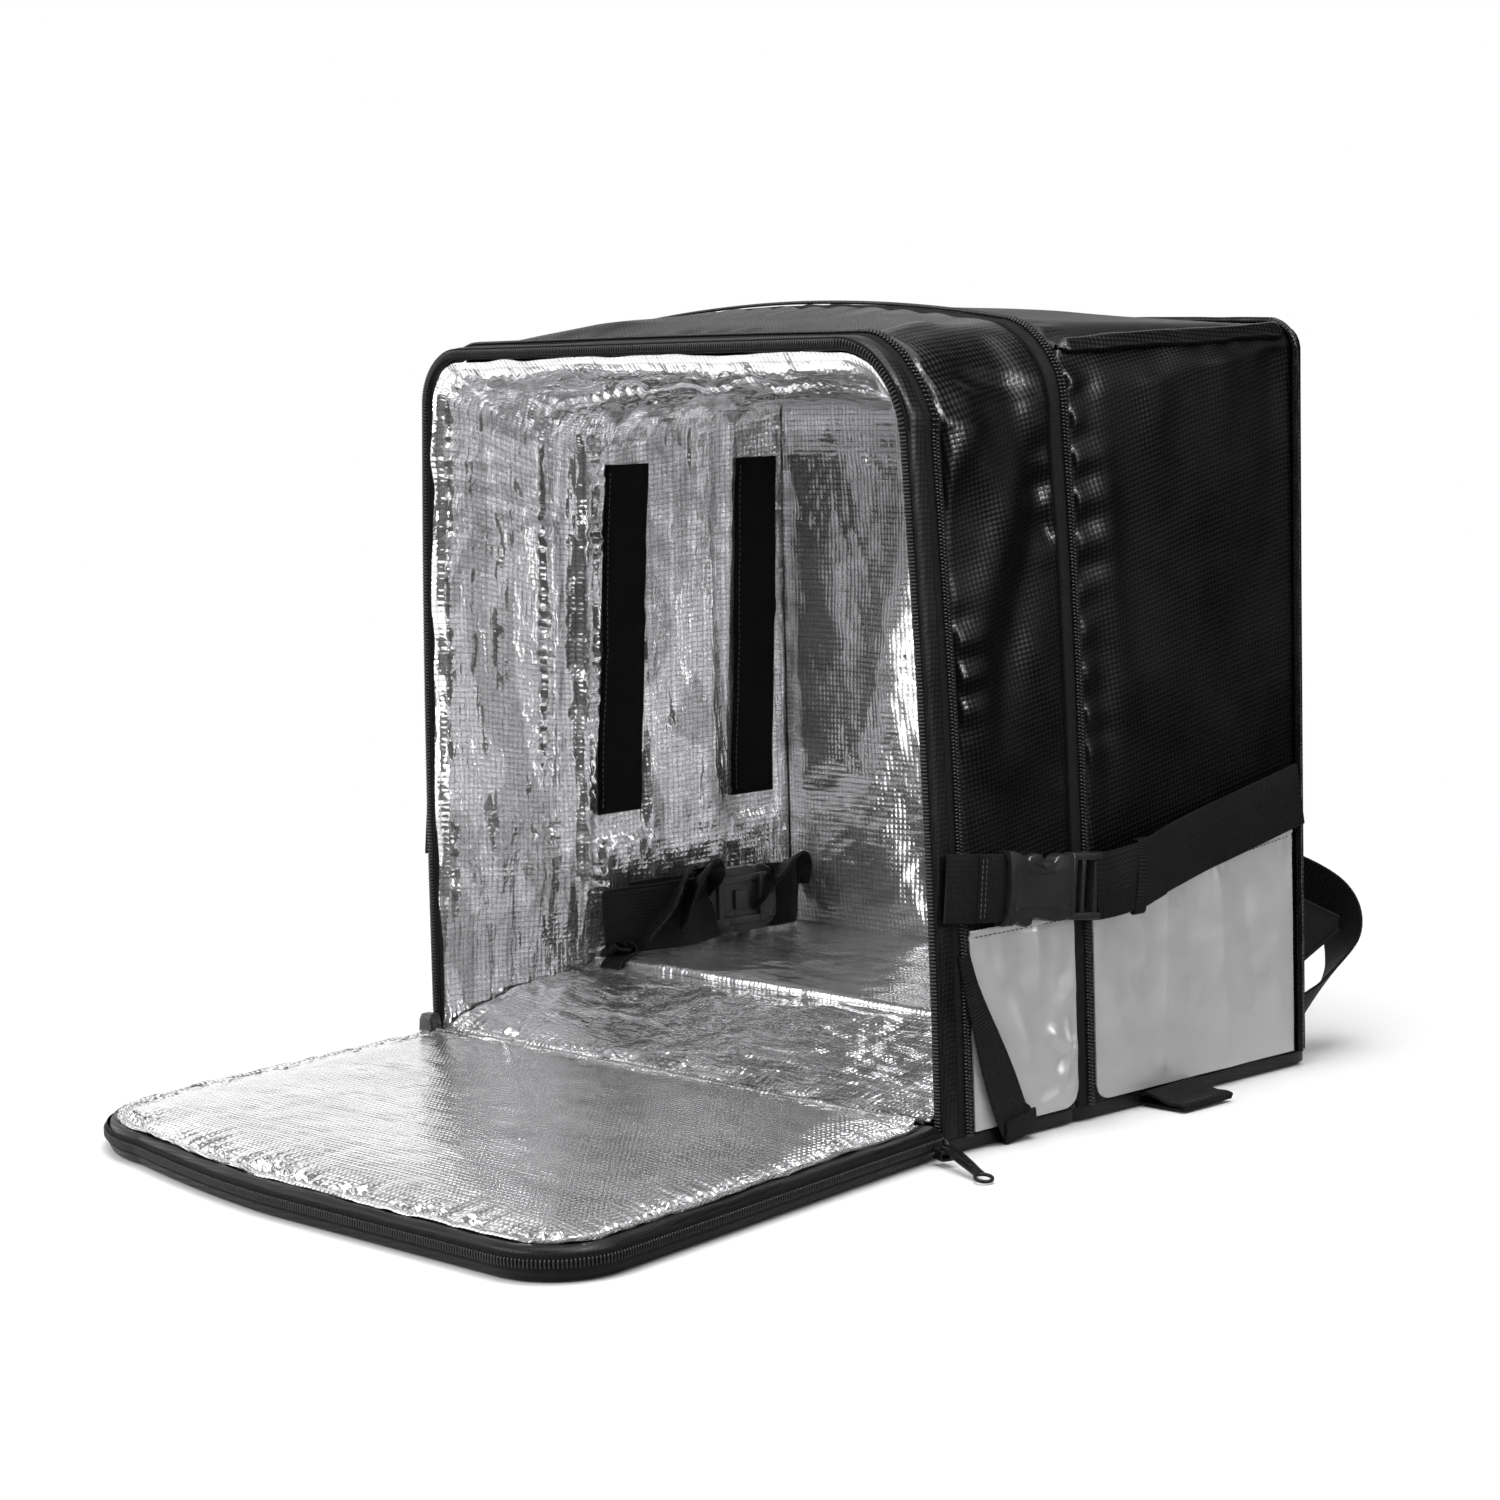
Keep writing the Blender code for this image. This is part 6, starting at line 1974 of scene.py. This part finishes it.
SHOULDER_REACH = 0.043
TAIL_REACH = 0.075
SHOULDER_ROUTE = (
    (0.164, 0, 0.926), (0.166, 0.08, 0.871), (0.179, 0.67, 0.763), (0.208, 1, 0.610), (0.245, 0.95, 0.447),
    (0.276, 0.81, 0.327)
)
TAIL_ROUTE = (
    (0.330, 0.79, 0.240), (0.416, 1.00, 0.192), (0.451, 0.87, 0.131), (0.455, 0.42, 0.074),
    (0.449, 0.00, 0.044)
)


def make_shoulder_strap(turn, side):
    """One padded strap with its tape and patch, its ladder lock and the webbing to its anchor."""
    back = DEPTH / 2
    seat = back + STRAP_THICKNESS / 2 + GAP
    route = [
        (turn * across * WIDTH, seat + out * SHOULDER_REACH, up * HEIGHT)
        for across, out, up in SHOULDER_ROUTE
    ]
    width = (1, 0, 0)
    obj = strap_mesh(
        f"shoulder_strap_{side}_pad", route, width, STRAP_WIDTH, STRAP_THICKNESS * 0.9, "tarpaulin_soft",
        0.003, middle=0.0008, ripple=0.0006
    )
    settle(obj, "tarpaulin", f"shoulder_strap_{side}", padded=0.6)
    outer = [(x, y + STRAP_THICKNESS * 0.5 + 0.0012, z) for x, y, z in route]
    outer[0] = (outer[0][0], outer[0][1] - 0.001, outer[0][2])
    obj = strap_mesh(
        f"shoulder_strap_{side}_tape", outer, width, 0.034, 0.0014, "webbing", 0.003, ripple=0.0002
    )
    settle(obj, "webbing")
    # A cross patch sews the strap's upper end to the back
    x, y, z = route[0]
    patch = [
        (x + reach, back + up, z - 0.006)
        for reach, up in (
            (-0.046, 0.0012), (-0.036, 0.0030), (-0.030, 0.0115), (0.0, 0.0125), (0.030, 0.0115),
            (0.036, 0.0030), (0.046, 0.0012)
        )
    ]
    settle(
        strap_mesh(
            f"shoulder_patch_{side}", patch, (0, 0, 1), 0.030, 0.0018, "webbing", 0.002, ripple=0.0002
        ),
        "webbing"
    )
    for index, rise in enumerate((-0.0115, 0.0115)):
        path = np.array([(x + t, back + 0.0138, z - 0.006 + rise) for t in np.linspace(-0.028, 0.028, 20)])
        wall_stitches(
            f"shoulder_patch_{side}_stitches_{index + 1}", path, all_along((0.0, 1.0, 0.0), path), 0.0034,
            "thread_dark", length=0.0023
        )
    x, y, z = route[-1]
    centre = Vector((x, y - 0.002, z - GAP - 0.015))
    blocks = []
    for sign in (-1, 1):
        blocks.append(((0.0042, 0.0060, 0.0300), (sign * 0.0219, 0, 0)))
    for rise, tall, thick in ((0.0128, 0.0044, 0.0058), (0.0, 0.0046, 0.0052), (-0.0128, 0.0046, 0.0060)):
        blocks.append(((0.0440, thick, tall), (0, 0, rise)))
    obj = blocks_mesh(f"ladder_lock_{side}_frame", blocks, Matrix.Translation(centre), "plastic", 0.0010)
    settle(obj, "plastic", f"ladder_lock_{side}")
    # Webbing from the lock down to its anchor at the side
    tail = [
        (centre.x, centre.y + 0.0034, centre.z + 0.010), (centre.x, centre.y + 0.001, centre.z - 0.006),
        (centre.x, centre.y, centre.z - 0.015 - GAP - 0.0028)
    ]
    for across, out, up in TAIL_ROUTE:
        tail.append((turn * across * WIDTH, back + WEBBING_THICKNESS + out * TAIL_REACH, up * HEIGHT))
    obj = strap_mesh(
        f"strap_webbing_{side}_belt", tail, (turn, 0, 0.1), 0.0384, WEBBING_THICKNESS, "webbing", 0.0022,
        last_across=(turn * 0.5, 0, 0.86), ripple=0.0003
    )
    settle(obj, "webbing", f"strap_webbing_{side}")
    make_anchor(turn, side)


def make_anchor(turn, side):
    """A triangle of webbing with hemmed edges, which holds the strap's lower end."""
    low, high, reach = 0.058, 0.107, 0.046
    back = DEPTH / 2
    across = turn * (WIDTH / 2 - 0.010)
    corners = (
        (back - 0.004, low), (back - 0.004, high), (back + reach, (low + high) / 2 + 0.003),
        (back + reach, (low + high) / 2 - 0.005)
    )
    place = Matrix.Translation((across, 0, 0))
    plate = plate_mesh(f"strap_anchor_{side}_cloth", corners, 0.0030, place, "webbing_fine", 0.0010)
    settle(plate, "webbing", f"strap_anchor_{side}")
    for index, (first, last) in enumerate(((0, 3), (1, 2))):
        (y0, z0), (y1, z1) = corners[first], corners[last]
        points = [(across, mix(y0, y1, t), mix(z0, z1, t)) for t in (0, 0.5, 1)]
        obj = strap_mesh(
            f"strap_anchor_{side}_hem_{index + 1}", points, (1, 0, 0), 0.0046, 0.0022, "webbing_fine", 0.002
        )
        settle(obj, "webbing")


# Zip slider, its puller and the stop

PULLER_PIVOT = Vector((WIDTH / 2 + 0.0147, -DEPTH / 2 - 0.0145, 0.0117))
PULLER_TURN = math.radians(-19)
PULLER_LENGTH = 0.050
PULLER_THICKNESS = 0.0016


def ring_mesh(name, outer, inner, thickness, place, material, sides=40):
    """A flat ring with rounded rims, lying in its local plane of x and y."""
    middle, half = (outer + inner) / 2, (outer - inner) / 2
    section = full_oval(half, thickness / 2, 0.6, 0.6, 12)
    angles = circle(sides)
    bm = bmesh.new()
    rings = []
    for angle in angles:
        rings.append(
            [
                bm.verts.new(((middle + r) * math.cos(angle), (middle + r) * math.sin(angle), z))
                for r, z in section
            ]
        )
    count = len(section)
    for index in range(sides):
        for point in range(count):
            a, b = rings[index], rings[(index + 1) % sides]
            bm.faces.new((a[point], a[(point + 1) % count], b[(point + 1) % count], b[point]))
    return object_from(name, bm, place, material, 60)


def make_slider():
    """Two plates with side walls and a neck between them, and the bridge on top."""
    level = Matrix.Translation(PULLER_PIVOT) @ Matrix.Rotation(PULLER_TURN, 4, "Z")
    low = -0.0023 - 0.003
    blocks = [
        ((0.0125, 0.0092, 0.0020), (-0.002, 0, low + 0.0020)),
        ((0.0120, 0.0088, 0.0018), (-0.002, 0, low - 0.0021))
    ]
    blocks += [
        ((0.0030, 0.0040, 0.0050), (-0.0065, 0, low)), ((0.0080, 0.0011, 0.0052), (-0.0015, 0.0038, low)),
        ((0.0080, 0.0011, 0.0052), (-0.0015, -0.0038, low))
    ]
    body = blocks_mesh("slider_body", blocks, level, "metal", 0.0005)
    # A rounded bridge for the puller
    upright = level @ Matrix.Rotation(math.radians(90), 4, "X")
    bridge = ring_mesh("slider_bridge", 0.0036, 0.0023, 0.0018, upright, "metal", 28)
    settle(join("zip_slider_body", [body, bridge]), "zip_metal", "zip_slider")


def make_puller():
    """The puller: a waisted plate with a rib, a loop at the bridge and a ring at its end."""
    drop = math.asin((PULLER_PIVOT.z - PULLER_THICKNESS / 2 - GAP) / PULLER_LENGTH)
    place = Matrix.Translation(PULLER_PIVOT) @ Matrix.Rotation(
        PULLER_TURN, 4, "Z"
    ) @ Matrix.Rotation(drop, 4, "Y")
    turned = place @ Matrix.Rotation(math.radians(90), 4, "Y")
    start, neck, end = 0.0042, 0.012, PULLER_LENGTH - 0.0098
    sides = [
        (start, 0.0024), (0.0065, 0.0036), (neck, 0.0042), (0.024, 0.0040), (0.034, 0.0033), (end, 0.0036)
    ]
    contour = [(y, x) for x, y in sides] + [(-y, x) for x, y in sides[::-1]]
    plate = plate_mesh("puller_plate", contour, PULLER_THICKNESS, turned, "metal", 0.0005)
    ring = ring_mesh(
        "puller_ring", 0.0058, 0.0038, PULLER_THICKNESS * 1.15,
        place @ Matrix.Translation((PULLER_LENGTH - 0.0052, 0, 0)), "metal"
    )
    loop = ring_mesh(
        "puller_loop", 0.0034, 0.0020, PULLER_THICKNESS, place @ Matrix.Translation((0.0016, 0, 0)),
        "metal", 28
    )
    rib = blocks_mesh(
        "puller_rib", [((0.0180, 0.0028, 0.0010), (0.0210, 0, PULLER_THICKNESS * 0.6))], place, "metal",
        0.0004
    )
    settle(join("zip_puller_plate", [plate, ring, loop, rib]), "zip_metal", "zip_puller", body="puller")


def make_stop():
    """The block that holds both zip ends at the hinge's left corner."""
    width, length, height = 0.014, 0.010, 0.012
    front = -TEETH_HEIGHT - 2 * GAP - length / 2
    place = Matrix.Translation((0.006 - WIDTH / 2, y_at(front), DOOR_SIDE + GAP + height / 2))
    lying = place @ Matrix.Rotation(math.radians(90), 4, "Z")
    contour = [
        (-width / 2, -height / 2), (width / 2, -height / 2), (width / 2 - 0.0008, height * 0.2),
        (width / 2 - 0.003, height / 2)
    ]
    contour += [(-width / 2 + 0.003, height / 2), (-width / 2 + 0.0008, height * 0.2)]
    settle(plate_mesh("zip_stop_block", contour, length, lying, "plastic", 0.0022), "plastic", "zip_stop")


for turn, side in ((-1, "left"), (1, "right")):
    make_bands(turn, side)
    make_belts(turn, side)
    make_corner_strap(turn, side)
    make_shoulder_strap(turn, side)
make_base_tab()
make_hook_strips()
make_bundle()
make_slider()
make_puller()
make_stop()


# Camera, lights and floor

YAW = math.radians(46.535)
PITCH = math.radians(6.542)
ROLL = math.radians(-1.616)
SENSOR = 36
FOCAL_SHARE = 3475.9 / 1500
CAMERA_PLACE = (1.5442, -1.5537, 0.452)


def make_camera():
    ahead = Vector((-math.sin(YAW) * math.cos(PITCH), math.cos(YAW) * math.cos(PITCH), -math.sin(PITCH)))
    level = ahead.cross(Vector((0, 0, 1))).normalized()
    upright = level.cross(ahead)
    right = level * math.cos(ROLL) + upright * math.sin(ROLL)
    up = upright * math.cos(ROLL) - level * math.sin(ROLL)
    data = bpy.data.cameras.new("camera")
    data.sensor_width = SENSOR
    data.lens = SENSOR * FOCAL_SHARE
    data.clip_end = 60
    camera = bpy.data.objects.new("camera", data)
    bpy.context.scene.collection.objects.link(camera)
    turn = Matrix((right, up, -ahead)).transposed().to_4x4()
    camera.matrix_world = Matrix.Translation(CAMERA_PLACE) @ turn
    bpy.context.scene.camera = camera


def add_light(name, place, target, width, height, power, reflected):
    data = bpy.data.lights.new(name, "AREA")
    data.energy = power
    data.shape = "RECTANGLE"
    data.size = width
    data.size_y = height
    light = bpy.data.objects.new(name, data)
    light.location = place
    light.rotation_euler = (Vector(target) - Vector(place)).to_track_quat("-Z", "Y").to_euler()
    light.visible_diffuse = not reflected
    bpy.context.scene.collection.objects.link(light)


def make_world():
    """White to the camera, soft light for the cloth, and a dark room with bright screens in reflections."""
    world = bpy.data.worlds.new("studio")
    world.use_nodes = True
    bpy.context.scene.world = world
    world.node_tree.nodes.clear()
    made = Nodes(world.node_tree)

    def background(strength):
        node = made.node("ShaderNodeBackground")
        node.inputs["Color"].default_value = (1, 1, 1, 1)
        node.inputs["Strength"].default_value = strength
        return node

    way = made.node("ShaderNodeTexCoord").outputs["Generated"]
    total = 0.0
    for facing, low, high, bright in SCREENS:
        dot = made.node("ShaderNodeVectorMath", operation="DOT_PRODUCT")
        made.wire(way, dot.inputs[0])
        dot.inputs[1].default_value = Vector(facing).normalized()
        total = made.math("ADD", total, made.ramp(dot.outputs["Value"], low, high, 0.0, bright))
    patches = made.ramp(made.noise(way, 3.0, 1.0, 0.5), 0.35, 0.60)
    mirrored = background(1.0)
    made.wire(made.math("MULTIPLY_ADD", total, patches, DARK_ROOM), mirrored.inputs["Color"])
    rays = made.node("ShaderNodeLightPath").outputs
    unseen = made.mixed(rays["Is Glossy Ray"], background(WORLD_LIGHT).outputs[0], mirrored.outputs[0])
    surface = made.mixed(rays["Is Camera Ray"], unseen, background(1.0).outputs[0])
    made.wire(surface, made.node("ShaderNodeOutputWorld").inputs["Surface"])


def make_floor_stage():
    """A pale floor that turns to plain white far from the bag."""
    made = Shader("studio_floor", (0.93, 0.93, 0.93), 0.6, Specular_IOR_Level=0.0)
    way = made.node("ShaderNodeNewGeometry").outputs["Position"]
    length = made.node("ShaderNodeVectorMath", operation="LENGTH")
    made.wire(way, length.inputs[0])
    far = made.ramp(length.outputs["Value"], 0.55, 1.3)
    pale = made.mixed(far, made.bsdf.outputs[0], made.node("ShaderNodeEmission").outputs[0])
    # A black cloth on the floor at the right, seen in reflections alone
    split = made.node("ShaderNodeSeparateXYZ")
    made.wire(way, split.inputs[0])
    rays = made.node("ShaderNodeLightPath").outputs
    hidden = made.math("MULTIPLY", made.ramp(split.outputs[0], 0.22, 0.34), rays["Is Glossy Ray"])
    cloth = made.node("ShaderNodeEmission")
    cloth.inputs["Strength"].default_value = 0.02
    surface = made.mixed(hidden, pale, cloth.outputs[0])
    made.wire(surface, made.tree.nodes["Material Output"].inputs["Surface"])
    bm = bmesh.new()
    bmesh.ops.create_circle(bm, cap_ends=True, segments=64, radius=FLOOR_RADIUS)
    mesh = bpy.data.meshes.new("studio_floor")
    bm.to_mesh(mesh)
    bm.free()
    mesh.materials.append(made.material)
    floor = bpy.data.objects.new("studio_floor", mesh)
    floor.location.z = -FLOOR_DROP
    bpy.context.scene.collection.objects.link(floor)


FLOOR_RADIUS = 40
FLOOR_DROP = 0.0006
WORLD_LIGHT = 0.55
DARK_ROOM = 0.015
LAMPS = (
    # name, place, target, width, height, power, whether it shows in reflections alone
    ("top_box", (0.2, -0.1, 2.1), (0, 0, 0.3), 1.8, 1.8, 42, False),
    ("front_box", (-0.3, -2.6, 1.5), (0, 0, 0.2), 1.4, 1.4, 36, False),
    ("right_strip", (2.4, 0.1, 1.2), (0.2, 0, 0.25), 0.20, 0.8, 45, True),
    ("high_strip", (1.5, -0.2, 2.0), (0.2, 0, 0.25), 0.25, 0.9, 45, True),
)
SCREENS = (
    # direction, where its edge starts and ends as the cosine from the middle, brightness
    ((-0.80, 0.60, 0.05), 0.60, 0.80, 1.30),
    ((-0.45, -0.85, 0.22), 0.80, 0.92, 4.60),
    ((-0.92, -0.30, 0.20), 0.78, 0.92, 1.60),
    ((0.78, 0.50, 0.40), 0.80, 0.96, 1.00),
    ((-0.1, -0.1, 1.0), 0.86, 0.94, 0.90),
)
make_camera()
make_world()
make_floor_stage()
for lamp in LAMPS:
    add_light(*lamp)
bpy.context.scene.view_settings.view_transform = "Standard"
